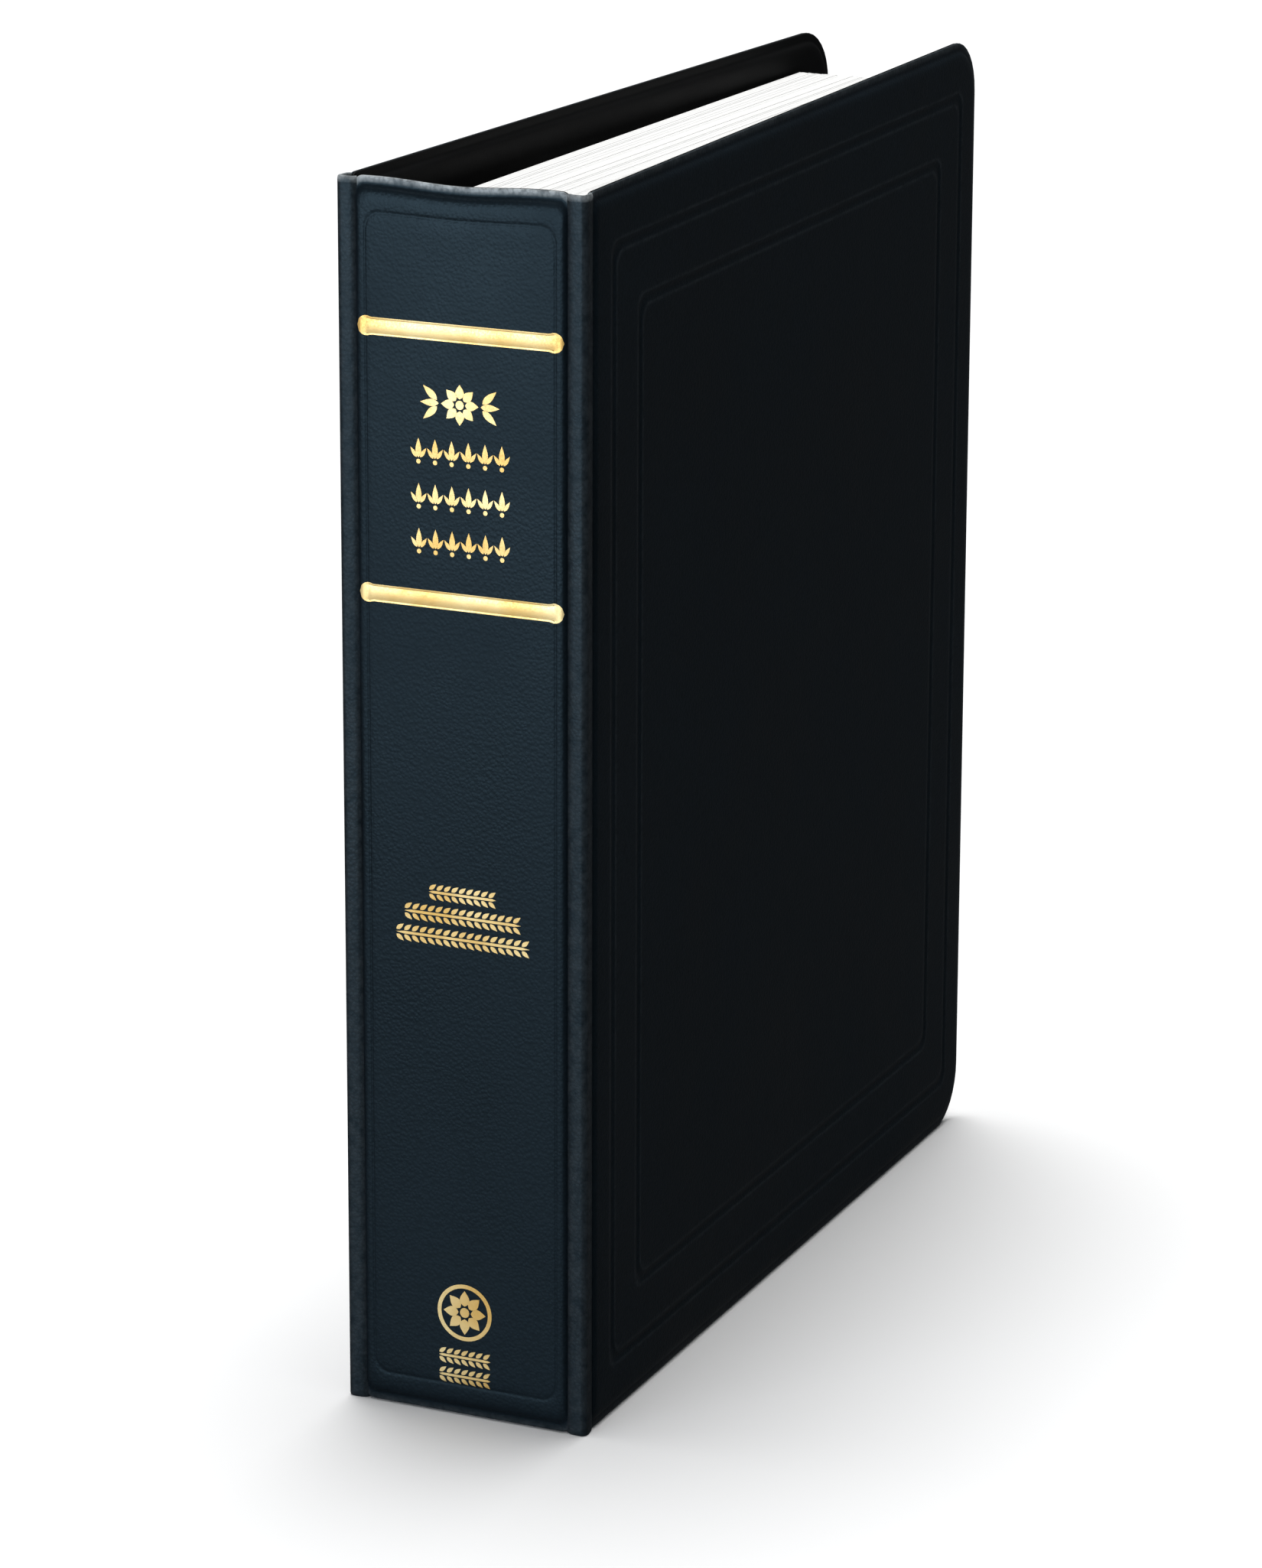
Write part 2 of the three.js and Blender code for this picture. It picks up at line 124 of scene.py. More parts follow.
def make_object(name, vertices, faces, material, smooth_angle=35):
    """A mesh object whose faces all point outwards, shaded smooth below an angle."""
    mesh = bpy.data.meshes.new(name)
    mesh.from_pydata([tuple(v) for v in vertices], [], faces)
    mesh.validate()
    mesh.materials.append(material)
    piece = add_object(name, mesh)
    bpy.context.view_layer.objects.active = piece
    piece.select_set(True)
    bpy.ops.object.mode_set(mode="EDIT")
    bpy.ops.mesh.select_all(action="SELECT")
    bpy.ops.mesh.normals_make_consistent(inside=False)
    bpy.ops.object.mode_set(mode="OBJECT")
    bpy.ops.object.shade_smooth_by_angle(angle=math.radians(smooth_angle))
    piece.select_set(False)
    return piece


def place(piece, body, slot, *replaced):
    """Puts a finished piece on its body, and hides the CAD nodes that it stands for."""
    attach(piece, body)
    if replaced:
        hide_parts(*replaced)


def set_attribute(piece, name, values, domain="POINT"):
    """A number for every vertex or face, which its material reads by name."""
    attribute = piece.data.attributes.new(name, "FLOAT", domain)
    attribute.data.foreach_set("value", values)


def lerp(low, high, share):
    return low + (high - low) * share


def smoothstep(value):
    value = max(0.0, min(1.0, value))
    return value * value * (3 - 2 * value)


def unit(angle):
    """The unit vector at an angle in a flat drawing."""
    return Vector((math.cos(angle), math.sin(angle)))


def quarter(x, y, radius, first, steps):
    """A quarter circle in a flat drawing, anticlockwise from an angle in degrees."""
    angles = [math.radians(first + 90 * k / steps) for k in range(steps + 1)]
    return [Vector((x + radius * math.cos(a), y + radius * math.sin(a))) for a in angles]


def corner_arcs(left, right, bottom, top, left_radius, right_radius, steps):
    """The four corners of a rounded rectangle, anticlockwise from the bottom left."""
    near, far = left_radius, right_radius
    return [
        quarter(left + near, bottom + near, near, 180, steps),
        quarter(right - far, bottom + far, far, 270, steps),
        quarter(right - far, top - far, far, 0, steps),
        quarter(left + near, top - near, near, 90, steps),
    ]


def directions(points):
    """The unit direction of a line at each of its points."""
    last = len(points) - 1
    return [(points[min(k + 1, last)] - points[max(k - 1, 0)]).normalized() for k in range(last + 1)]


def axes_matrix(origin, u, v, w):
    """Maps a point (u, v, w) of a flat drawing to the frame."""
    matrix = Matrix((u, v, w)).transposed().to_4x4()
    matrix.translation = origin
    return matrix


def join_shapes(shapes):
    """One list of vertices and one of faces, from several (vertices, faces) pairs."""
    vertices, faces = [], []
    for some_vertices, some_faces in shapes:
        first = len(vertices)
        vertices.extend(some_vertices)
        faces.extend([tuple(first + i for i in face) for face in some_faces])
    return vertices, faces


def bridge(first, second, count):
    """Quads between two closed loops of count vertices that start at first and second."""
    return [
        (first + i, first + (i + 1) % count, second + (i + 1) % count, second + i)
        for i in range(count)
    ]


def slab(rows, wrapped=False, is_hole=lambda i, j: False):
    """A closed sheet from a grid of vertex pairs: rows[i][j] is a (front, rear) pair.

    A wrapped sheet joins its last row to its first. is_hole tells which cells are left out."""
    count, width = len(rows), len(rows[0])

    def present(i, j):
        return (wrapped or 0 <= i < count - 1) and 0 <= j < width - 1 and not is_hole(i, j)

    faces = []
    for i in range(count if wrapped else count - 1):
        for j in range(width - 1):
            if not present(i, j):
                continue
            spots = ((i, j), (i + 1, j), (i + 1, j + 1), (i, j + 1))
            a, b, c, d = (2 * (row % count * width + column) for row, column in spots)
            faces += [(a, b, c, d), (a + 1, d + 1, c + 1, b + 1)]
            neighbours = ((i, j - 1), (i + 1, j), (i, j + 1), (i - 1, j))
            for near, far, neighbour in zip((a, b, c, d), (b, c, d, a), neighbours):
                if not present(*neighbour):
                    faces.append((near, near + 1, far + 1, far))
    return [vertex for row in rows for pair in row for vertex in pair], faces


def loft(loops):
    """A closed solid through loops of as many vertices each, flat at both ends."""
    count = len(loops[0])
    vertices = [vertex for loop in loops for vertex in loop]
    faces = [tuple(range(count)), tuple(range(len(vertices) - count, len(vertices)))]
    for i in range(1, len(loops)):
        faces += bridge((i - 1) * count, i * count, count)
    return vertices, faces


# ---- camera ----------------------------------

def make_camera():
    """A long lens, higher than the binder and looking down at it by some 15 degrees."""
    data = bpy.data.cameras.new("camera")
    camera = add_object("camera", data)
    data.lens = 132.329
    data.shift_x = 0.0395
    data.shift_y = -0.0488
    data.clip_end = 50
    azimuth = math.radians(-61.56)
    tilt = math.radians(15.52)
    camera.location = (-1.11338, -0.56729, 0.47696)
    camera.rotation_euler = (math.pi / 2 - tilt, 0, azimuth)
    bpy.context.scene.camera = camera


make_camera()


# ---- materials -------------------------------

class Nodes:
    """A short way to write a node material."""

    def __init__(self, name):
        self.material = bpy.data.materials.new(name)
        self.material.use_nodes = True
        self.tree = self.material.node_tree

    def feed(self, socket, value):
        """Gives an input its value: a number, a vector, a colour or another node's output."""
        if isinstance(value, bpy.types.NodeSocket):
            self.tree.links.new(value, socket)
        else:
            socket.default_value = (*value, 1) if socket.type == "RGBA" else value

    def add(self, kind, *values, **settings):
        """A new node. values go to its first inputs, and each setting to a property or input."""
        node = self.tree.nodes.new(kind)
        for socket, value in zip(node.inputs, values):
            self.feed(socket, value)
        for key, value in settings.items():
            if hasattr(node, key):
                setattr(node, key, value)
            else:
                self.feed(node.inputs[key.replace("_", " ")], value)
        return node

    def position(self, rotation=0.0):
        """Object coordinates, in metres, turned about Z so that a leaning piece lies straight."""
        coordinates = self.add("ShaderNodeTexCoord").outputs["Object"]
        mapping = self.add("ShaderNodeMapping", Vector=coordinates, Rotation=(0, 0, rotation))
        return mapping.outputs["Vector"]

    def noise(self, vector, scale, detail=3.0, roughness=0.5):
        return self.add(
            "ShaderNodeTexNoise", Vector=vector, Scale=scale, Detail=detail, Roughness=roughness
        ).outputs["Fac"]

    def ramp(self, value, low, high, position_low=0.0, position_high=1.0):
        node = self.add("ShaderNodeValToRGB", Fac=value)
        ends = ((position_low, low), (position_high, high))
        for element, (position, colour) in zip(node.color_ramp.elements, ends):
            element.position = position
            element.color = (*colour, 1)
        return node.outputs["Color"]

    def span(self, value, low, high, from_low=0.0, from_high=1.0):
        return self.add(
            "ShaderNodeMapRange", value, From_Min=from_low, From_Max=from_high, To_Min=low, To_Max=high
        ).outputs["Result"]

    def math(self, operation, first, second):
        return self.add("ShaderNodeMath", first, second, operation=operation).outputs["Value"]

    def mix(self, factor, first, second):
        node = self.add("ShaderNodeMix", data_type="RGBA", Factor=factor)
        colours = (socket for socket in node.inputs if socket.type == "RGBA")
        for socket, value in zip(colours, (first, second)):
            self.feed(socket, value)
        return next(socket for socket in node.outputs if socket.type == "RGBA")

    def bump(self, height, strength, distance, **under):
        return self.add(
            "ShaderNodeBump", Height=height, Strength=strength, Distance=distance, **under
        ).outputs["Normal"]

    def attribute(self, name):
        return self.add("ShaderNodeAttribute", attribute_name=name).outputs["Fac"]

    def finish(self, colour, roughness, **others):
        shader = self.tree.nodes["Principled BSDF"]
        for key, value in {"Base Color": colour, "Roughness": roughness, **others}.items():
            self.feed(shader.inputs[key.replace("_", " ")], value)
        return self.material


def leather_height(nodes, vector, cell_size):
    """Pebbled grain: rounded cells between fine creases, broken up by noise."""
    warp = nodes.add("ShaderNodeTexNoise", Vector=vector, Scale=0.35 / cell_size, Detail=2.0)
    shift = nodes.add(
        "ShaderNodeVectorMath", warp.outputs["Color"], operation="SCALE", Scale=0.9 * cell_size
    )
    moved = nodes.add("ShaderNodeVectorMath", vector, shift.outputs["Vector"], operation="ADD")
    cells = nodes.add(
        "ShaderNodeTexVoronoi",
        feature="SMOOTH_F1",
        Vector=moved.outputs["Vector"],
        Scale=1 / cell_size,
        Smoothness=0.35,
    )
    pebbles = nodes.span(cells.outputs["Distance"], 1.0, 0.0, 0.1, 0.75)
    fine = nodes.noise(vector, 3.2 / cell_size, detail=4)
    return nodes.math("ADD", nodes.math("MULTIPLY", pebbles, 0.8), nodes.math("MULTIPLY", fine, 0.2))


def vinyl_material():
    """Black calendered vinyl with a blue cast, a pressed leather grain and a soft gloss. Its grain's
    creases carry painted shade, and an attribute paints it paler: wear, and painted highlights on the
    spine's head and beside the pressed lines.
    """
    nodes = Nodes("case_vinyl")
    where = nodes.position()
    grain = leather_height(nodes, where, 0.75 * MM)
    patches = nodes.noise(where, 22, detail=4, roughness=0.6)
    colour = nodes.ramp(patches, (0.0022, 0.0040, 0.0060), (0.0042, 0.0074, 0.0112), 0.3, 0.75)
    # Paler where the attribute says: light wear on the rims, a painted highlight on the head of the
    # spine and its hinge strips, and wear with a painted highlight beside the pressed lines.
    speckle = nodes.span(nodes.noise(where, 420), 0.3, 1.0, 0.3, 0.6)
    pale_wear_and_highlight = nodes.math("MULTIPLY", nodes.attribute("wear_and_highlight"), speckle)
    colour = nodes.mix(pale_wear_and_highlight, colour, (0.42, 0.45, 0.46))
    # Painted shade: the creases of the grain are coloured darker.
    crease_shade = nodes.span(grain, 0.35, 0.0, 0.1, 0.5)
    colour = nodes.mix(crease_shade, colour, (0.0015, 0.0026, 0.0034))
    roughness = nodes.span(patches, 0.42, 0.55, 0.3, 0.7)
    soft = nodes.bump(patches, 0.25, 0.35 * MM)
    normal = nodes.bump(grain, 0.42, 0.09 * MM, Normal=soft)
    return nodes.finish(
        colour, roughness, Normal=normal, Specular_IOR_Level=0.25, Specular_Tint=(0.50, 0.80, 1.0)
    )


def liner_material():
    """The plainer inner vinyl: the same black, with a finer and flatter grain."""
    nodes = Nodes("liner_vinyl")
    where = nodes.position()
    grain = leather_height(nodes, where, 0.5 * MM)
    patches = nodes.noise(where, 30, detail=4)
    colour = nodes.ramp(patches, (0.0024, 0.0026, 0.0028), (0.0044, 0.0047, 0.0050), 0.3, 0.7)
    roughness = nodes.span(patches, 0.55, 0.68, 0.3, 0.7)
    normal = nodes.bump(grain, 0.3, 0.05 * MM)
    return nodes.finish(colour, roughness, Normal=normal, Specular_IOR_Level=0.10)


def foil_material():
    """Hot-stamped gilt foil: bright, a little uneven, thin in small patches."""
    nodes = Nodes("gilt_foil")
    where = nodes.position()
    cloud = nodes.noise(where, 70)
    speck = nodes.noise(where, 2600, detail=2)
    colour = nodes.ramp(cloud, (0.75, 0.48, 0.14), (0.91, 0.72, 0.35), 0.35, 0.65)
    thin = nodes.span(speck, 0.0, 0.4, 0.64, 0.8)
    colour = nodes.mix(thin, colour, (0.42, 0.27, 0.10))
    roughness = nodes.span(speck, 0.36, 0.5, 0.3, 0.7)
    normal = nodes.bump(speck, 0.3, 0.03 * MM)
    return nodes.finish(colour, roughness, Normal=normal, Metallic=0.6)


def steel_material():
    """Nickel-plated steel with fine polishing marks along its length."""
    nodes = Nodes("nickel_steel")
    where = nodes.position()
    streaks = nodes.add("ShaderNodeMapping", Vector=where, Scale=(1, 1, 0.06))
    marks = nodes.noise(streaks.outputs["Vector"], 1500, detail=2)
    cloud = nodes.noise(where, 60, detail=4)
    colour = nodes.ramp(cloud, (0.60, 0.61, 0.62), (0.76, 0.76, 0.75), 0.3, 0.7)
    roughness = nodes.span(marks, 0.27, 0.30, 0.25, 0.75)
    normal = nodes.bump(marks, 0.05, 0.004 * MM)
    return nodes.finish(colour, roughness, Normal=normal, Metallic=1.0)


def paper_material():
    """White book paper. Its cut edges show the single leaves as fine lines of painted shade between
    them.
    """
    nodes = Nodes("leaf_paper")
    where = nodes.position(rotation=-LEAF_LEAN)
    split = nodes.add("ShaderNodeSeparateXYZ", Vector=where)
    wander = nodes.math("MULTIPLY", nodes.noise(where, 12, detail=2), 1.6)
    depth = nodes.math("MULTIPLY", split.outputs["Y"], 1 / (0.16 * MM))
    along = nodes.math("ADD", depth, wander)
    line = nodes.add("ShaderNodeTexNoise", noise_dimensions="1D", W=along, Scale=1.0, Detail=2.0)
    leaves = line.outputs["Fac"]
    on_edge = nodes.attribute("cut_edge")
    # Painted shade in the gaps between the leaves, on the cut edges only.
    shade = nodes.math("MULTIPLY", nodes.span(leaves, 1.0, 0.0, 0.35, 0.6), on_edge)
    fibre = nodes.noise(where, 1500)
    sheet = nodes.ramp(fibre, (0.78, 0.78, 0.77), (0.84, 0.84, 0.83), 0.3, 0.7)
    colour = nodes.mix(nodes.math("MULTIPLY", shade, 0.36), sheet, (0.55, 0.545, 0.52))
    roughness = nodes.span(fibre, 0.78, 0.9)
    under = nodes.bump(fibre, 0.15, 0.02 * MM)
    normal = nodes.bump(nodes.math("MULTIPLY", leaves, on_edge), 0.3, 0.05 * MM, Normal=under)
    return nodes.finish(colour, roughness, Normal=normal, Specular_IOR_Level=0.25)


def board_material():
    """Grey-brown binder's board with short fibres."""
    nodes = Nodes("case_board")
    fibre = nodes.noise(nodes.position(), 900, detail=5, roughness=0.7)
    colour = nodes.ramp(fibre, (0.20, 0.17, 0.13), (0.42, 0.37, 0.30), 0.3, 0.7)
    roughness = nodes.span(fibre, 0.82, 0.95)
    return nodes.finish(colour, roughness, Normal=nodes.bump(fibre, 0.5, 0.1 * MM))


def lifter_material():
    """Black pressed plastic sheet with a fine matt texture and light scuffs."""
    nodes = Nodes("lifter_plastic")
    where = nodes.position()
    texture = nodes.noise(where, 1800, detail=2)
    scuffs = nodes.noise(where, 45, detail=6, roughness=0.7)
    colour = nodes.ramp(scuffs, (0.010, 0.010, 0.011), (0.022, 0.022, 0.024), 0.4, 0.8)
    roughness = nodes.span(scuffs, 0.34, 0.52, 0.3, 0.7)
    return nodes.finish(colour, roughness, Normal=nodes.bump(texture, 0.25, 0.03 * MM))


VINYL = vinyl_material()
LINER = liner_material()
FOIL = foil_material()
STEEL = steel_material()
PAPER = paper_material()
BOARD = board_material()
LIFTER = lifter_material()


# ---- case panels -----------------------------

def panel_axes():
    """The drawing axes of the three panels: u from the hinge, v up, w outwards."""
    up = Vector((0, 0, 1))
    foot = Vector((0, 0, -BACK_HINGE.z))
    across = (FRONT_HINGE - BACK_HINGE).normalized()
    front_u = Vector((math.cos(FRONT_LEAN), math.sin(FRONT_LEAN), 0))
    front_w = Vector((math.sin(FRONT_LEAN), -math.cos(FRONT_LEAN), 0))
    return {
        "back_cover": axes_matrix(BACK_HINGE + foot, Vector((1, 0, 0)), up, Vector((0, 1, 0))),
        "spine": axes_matrix(BACK_HINGE + foot, across, up, Vector((across.y, -across.x, 0))),
        "front_cover": axes_matrix(FRONT_HINGE + foot, front_u, up, front_w),
    }


AXES = panel_axes()
CORNER_STEPS = 8
SIDE_STEPS = {"back_cover": (26, 34), "spine": (12, 44), "front_cover": (26, 34)}

# Each row is one loop of a panel's sheet, from the recess for its board, over the welded
# edge, to the flat of the cover: the inset from a free edge, the inset from a hinged
# edge, and the height above the middle of the panel. Everything from here to LINER_LAP
# is in millimetres.
FACE_HEIGHT = 1.65
MIDDLE_HEIGHT = 1.66
RECESS_LOOPS = [(2.95, 2.95, 1.04), (2.6, 2.6, 0.35), (2.4, 2.4, 0.03)]
EDGE_LOOPS = [
    (0.14, 0.10, 0.03), (0.02, 0.02, 0.14), (0.00, 0.00, 0.28), (0.04, 0.03, 0.42),
    (0.16, 0.08, 0.53), (0.35, 0.14, 0.57), (1.50, 0.26, 0.57), (1.85, 0.40, 0.64),
    (2.15, 0.55, 0.82), (2.45, 0.72, 1.06), (2.80, 0.92, 1.28), (3.30, 1.15, 1.44),
    (4.10, 1.45, 1.55), (5.20, 1.90, 1.61),
]
WELD_LINE_LOOPS = [
    (6.30, 2.45, 1.62), (6.60, 2.62, 1.60), (6.85, 2.78, 1.54), (7.05, 2.92, 1.52),
    (7.25, 3.06, 1.54), (7.50, 3.22, 1.60), (7.80, 3.40, 1.62),
]
FLAT_LOOPS = [(9.0, 4.4, FACE_HEIGHT), (11.0, 6.2, MIDDLE_HEIGHT)]

# The covers have two broad pressed lines in place of the spine's fine one. A line's
# section is the distance from its middle and the share of its depth.
LINE_SHOULDER = 1.3
LINE_HALF = [(2.0, 0.0), (LINE_SHOULDER, 0.0), (0.85, 0.3), (0.4, 0.85)]
LINE_SECTION = (
    [(-step, share) for step, share in LINE_HALF] + [(0.0, 1.0)] + LINE_HALF[::-1]
)
LINE_DEPTH = 0.32
OUTER_LINE = (12.5, 9.5)
INNER_LINE = (26.0, 23.0)
BETWEEN_LINES = [(19.0, 16.0, FACE_HEIGHT)]
COVER_FLAT_LOOPS = [(29.0, 26.0, FACE_HEIGHT), (31.5, 28.5, MIDDLE_HEIGHT)]
FLANGE_RIM = 0.5  # insets smaller than this lie on the welded rim
SEAM_HEIGHT = 0.1  # below this, the sheet is hidden in the seam
INSET_TOLERANCE = 0.1
LINER_LAP = 0.03

# How far the vinyl is painted pale, from 0 to 1: light wear on the rims, a painted
# highlight on the spine's head, and wear with a painted highlight beside the pressed lines.
EDGE_WEAR = 0.06
# A painted highlight along the rim of the spine's head.
HEAD_HIGHLIGHT = 0.85
# Beside the pressed lines: partly rubbed wear, partly a painted highlight.
LINE_WEAR_AND_HIGHLIGHT = 0.024
HEAD_REACH = 2 * MM

GRID_FADE = 18 * MM
SWELL_HEIGHT = 0.16 * MM
SWELL_SIZE = 55 * MM
SWELL_SEEDS = {"back_cover": 3.1, "spine": 7.4, "front_cover": 12.9}
SPINE_WAVE = 0.40 * MM
SPINE_WAVE_DEPTH = 14 * MM
SPINE_WAVE_TURNS = 1.4
SPINE_WAVE_START = 0.4


def pressed_line(from_free, from_hinged):
    """The loops of one pressed line on a cover, at its distances from the two kinds of edge."""
    return [
        (from_free + step, from_hinged + step, FACE_HEIGHT - LINE_DEPTH * share)
        for step, share in LINE_SECTION
    ]


def inner_loops(panel):
    """The pressed lines of a panel, and the first loops of its flat."""
    if panel == "spine":
        return WELD_LINE_LOOPS, FLAT_LOOPS
    pressed = pressed_line(*OUTER_LINE) + BETWEEN_LINES + pressed_line(*INNER_LINE)
    return pressed, COVER_FLAT_LOOPS


def panel_limits(panel):
    """u where the panel starts and ends, and whether its far side is hinged too."""
    if panel == "spine":
        return HINGE_GAP, SPINE_WIDTH - HINGE_GAP, True
    return HINGE_GAP, COVER_END, False


def panel_loop(panel, free_inset, hinge_inset):
    """A rounded rectangle inside the panel's outline, from the middle of its first corner."""
    start, end, far_hinged = panel_limits(panel)
    left = start + hinge_inset
    right = end - (hinge_inset if far_hinged else free_inset)
    bottom = free_inset
    top = CASE_HEIGHT - free_inset
    hinge_radius = lerp(PANEL_CORNER, WELD_CORNER, smoothstep(free_inset / WELD_INSET))
    free_radius = hinge_radius if far_hinged else max(COVER_CORNER - free_inset, WELD_CORNER)
    arcs = corner_arcs(left, right, bottom, top, hinge_radius, free_radius, CORNER_STEPS)
    loop = []
    for arc, following, steps in zip(arcs, arcs[1:] + arcs[:1], SIDE_STEPS[panel] * 2):
        loop += arc + [arc[-1].lerp(following[0], k / steps) for k in range(1, steps)]
    half = CORNER_STEPS // 2
    return loop[half:] + loop[:half]


def coons_grid(loop, columns, rows):
    """Fills a closed loop with a grid whose border is the loop itself."""
    bottom = loop[: columns + 1]
    right = loop[columns : columns + rows + 1]
    top = loop[columns + rows : 2 * columns + rows + 1][::-1]
    left = (loop[2 * columns + rows :] + loop[:1])[::-1]
    grid = []
    for j in range(rows + 1):
        t = j / rows
        line = []
        for i in range(columns + 1):
            s = i / columns
            point = bottom[i] * (1 - t) + top[i] * t + left[j] * (1 - s) + right[j] * s
            point -= bottom[0] * (1 - s) * (1 - t) + bottom[-1] * s * (1 - t)
            point -= top[0] * (1 - s) * t + top[-1] * s * t
            line.append(point)
        grid.append(line)
    return grid


def border_cells(columns, rows):
    """The points of a grid that lie on its border, in the order of the loop round it."""
    return (
        [(i, 0) for i in range(columns)]
        + [(columns, j) for j in range(rows)]
        + [(i, rows) for i in range(columns, 0, -1)]
        + [(0, j) for j in range(rows, 0, -1)]
    )


def swell(panel, u, v):
    """The gentle unevenness of vinyl over its board."""
    start, end, _ = panel_limits(panel)
    _, flat = inner_loops(panel)
    border = min(u - start, end - u, v, CASE_HEIGHT - v) - flat[-1][1] * MM
    height = noise.noise(Vector((u / SWELL_SIZE, v / SWELL_SIZE, SWELL_SEEDS[panel])))
    return SWELL_HEIGHT * height * smoothstep(border / GRID_FADE)


def to_frame(panel, u, v, w):
    """A point of a panel's drawing in the frame, with the spine's slightly wavy head."""
    if panel == "spine":
        fade = smoothstep((v - CASE_HEIGHT + SPINE_WAVE_DEPTH) / SPINE_WAVE_DEPTH)
        angle = 2 * math.pi * SPINE_WAVE_TURNS * u / SPINE_WIDTH + SPINE_WAVE_START
        v += SPINE_WAVE * fade * math.sin(angle)
    return AXES[panel] @ Vector((u, v, w))


def loop_wear_and_highlight(panel, free_inset, height, v):
    """How pale a point of a loop is painted: a painted highlight on the spine's head, light wear on
    the rims.
    """
    if free_inset < FLANGE_RIM:
        if height < SEAM_HEIGHT:
            return 0.0
        at_head = v > CASE_HEIGHT - HEAD_REACH
        return HEAD_HIGHLIGHT if panel == "spine" and at_head else EDGE_WEAR
    from_line = min(abs(free_inset - line[0]) for line in (OUTER_LINE, INNER_LINE))
    beside_line = abs(from_line - LINE_SHOULDER) < INSET_TOLERANCE
    return LINE_WEAR_AND_HIGHLIGHT if beside_line and panel != "spine" else 0.0


def make_sheet(panel, name, side, loops, material, slot, replaced):
    """One vinyl sheet of a panel. side is +1 for the outer skin and -1 for the liner."""
    across, upward = SIDE_STEPS[panel]
    columns, rows = across + CORNER_STEPS, upward + CORNER_STEPS
    vertices, faces, wear_and_highlight = [], [], []
    count = 2 * (columns + rows)
    for i, (free_inset, hinge_inset, height) in enumerate(loops):
        loop = panel_loop(panel, free_inset * MM, hinge_inset * MM)
        for point in loop:
            vertices.append(to_frame(panel, point.x, point.y, side * height * MM))
            wear_and_highlight.append(loop_wear_and_highlight(panel, free_inset, height, point.y))
        if i:
            faces += bridge((i - 1) * count, i * count, count)
    faces.append(tuple(range(count)))

    grid = coons_grid(loop, columns, rows)
    border = (len(loops) - 1) * count
    index = {cell: border + k for k, cell in enumerate(border_cells(columns, rows))}
    for j in range(1, rows):
        for i in range(1, columns):
            point = grid[j][i]
            height = loops[-1][2] * MM + swell(panel, point.x, point.y)
            index[i, j] = len(vertices)
            vertices.append(to_frame(panel, point.x, point.y, side * height))
            wear_and_highlight.append(0.0)
    for j in range(rows):
        for i in range(columns):
            faces.append((index[i, j], index[i + 1, j], index[i + 1, j + 1], index[i, j + 1]))

    piece = make_object(name, vertices, faces, material, smooth_angle=50)
    set_attribute(piece, "wear_and_highlight", wear_and_highlight)
    place(piece, panel, slot, replaced)


def make_panel(panel):
    pressed, flat = inner_loops(panel)
    outer = RECESS_LOOPS + EDGE_LOOPS + pressed + flat
    raised = [(free, hinged, height + LINER_LAP) for free, hinged, height in RECESS_LOOPS]
    inner = raised + EDGE_LOOPS + flat
    make_sheet(panel, f"{panel}_vinyl", 1, outer, VINYL, "case_vinyl", f"{panel}_skin")
    make_sheet(panel, f"{panel}_lining", -1, inner, LINER, "liner_vinyl", f"{panel}_liner")


for PANEL in PANELS:
    make_panel(PANEL)


# ---- hinge strips ----------------------------

# Half of a strip's middle line, from inside the panel's welded edge to the corner:
# the distance along the panel from the hinge axis, and the height above the
# panel's middle, in millimetres.
STRIP_LINE = [(3.0, 0.15), (2.7, 0.36), (2.35, 0.60), (1.9, 0.74), (1.3, 0.81), (0.7, 0.84)]
STRIP_RADIUS = 0.85 * MM
STRIP_HALF = 0.5 * MM
STRIP_ARC_STEPS = 8
STRIP_MIDDLE_ROWS = 56

# The rounded ends of a strip: the distance from the end in millimetres, the share of
# the full thickness there, and how pale the head is painted: a painted highlight that fades into light
# wear.
STRIP_ENDS = [(0.0, 0.55, 0.7), (0.2, 0.85, 0.6), (0.6, 1.0, 0.4), (1.4, 1.0, 0.03)]


def strip_section(axis, first, second):
    """The closed outline of a strip in plan, between two panels that meet at a hinge.

    first and second are (along, outwards) pairs of unit vectors."""
    middle = [axis + first[0] * a * MM + first[1] * h * MM for a, h in STRIP_LINE]
    turn = first[1].angle_signed(second[1])
    for k in range(STRIP_ARC_STEPS + 1):
        direction = first[1].copy()
        direction.rotate(Matrix.Rotation(-turn * k / STRIP_ARC_STEPS, 2))
        middle.append(axis + direction * STRIP_RADIUS)
    middle += [axis + second[0] * a * MM + second[1] * h * MM for a, h in reversed(STRIP_LINE)]
    section = []
    for side in (1, -1):
        aside = [side * Vector((-ahead.y, ahead.x)) for ahead in directions(middle)]
        section += list(zip(middle, aside))[::side]
    return section


def strip_rows():
    """The height, share of the thickness and paleness of every row of a strip, upwards: light wear,
    with a painted highlight at the head.
    """
    plain = STRIP_ENDS[-1][2]
    rows = [(inset * MM, share, plain) for inset, share, _ in STRIP_ENDS]
    reach = STRIP_ENDS[-1][0] * MM
    for j in range(1, STRIP_MIDDLE_ROWS):
        rows.append((lerp(reach, CASE_HEIGHT - reach, j / STRIP_MIDDLE_ROWS), 1.0, plain))
    rows += [(CASE_HEIGHT - inset * MM, share, wear_and_highlight_share) for inset, share, wear_and_highlight_share in STRIP_ENDS[::-1]]
    return rows


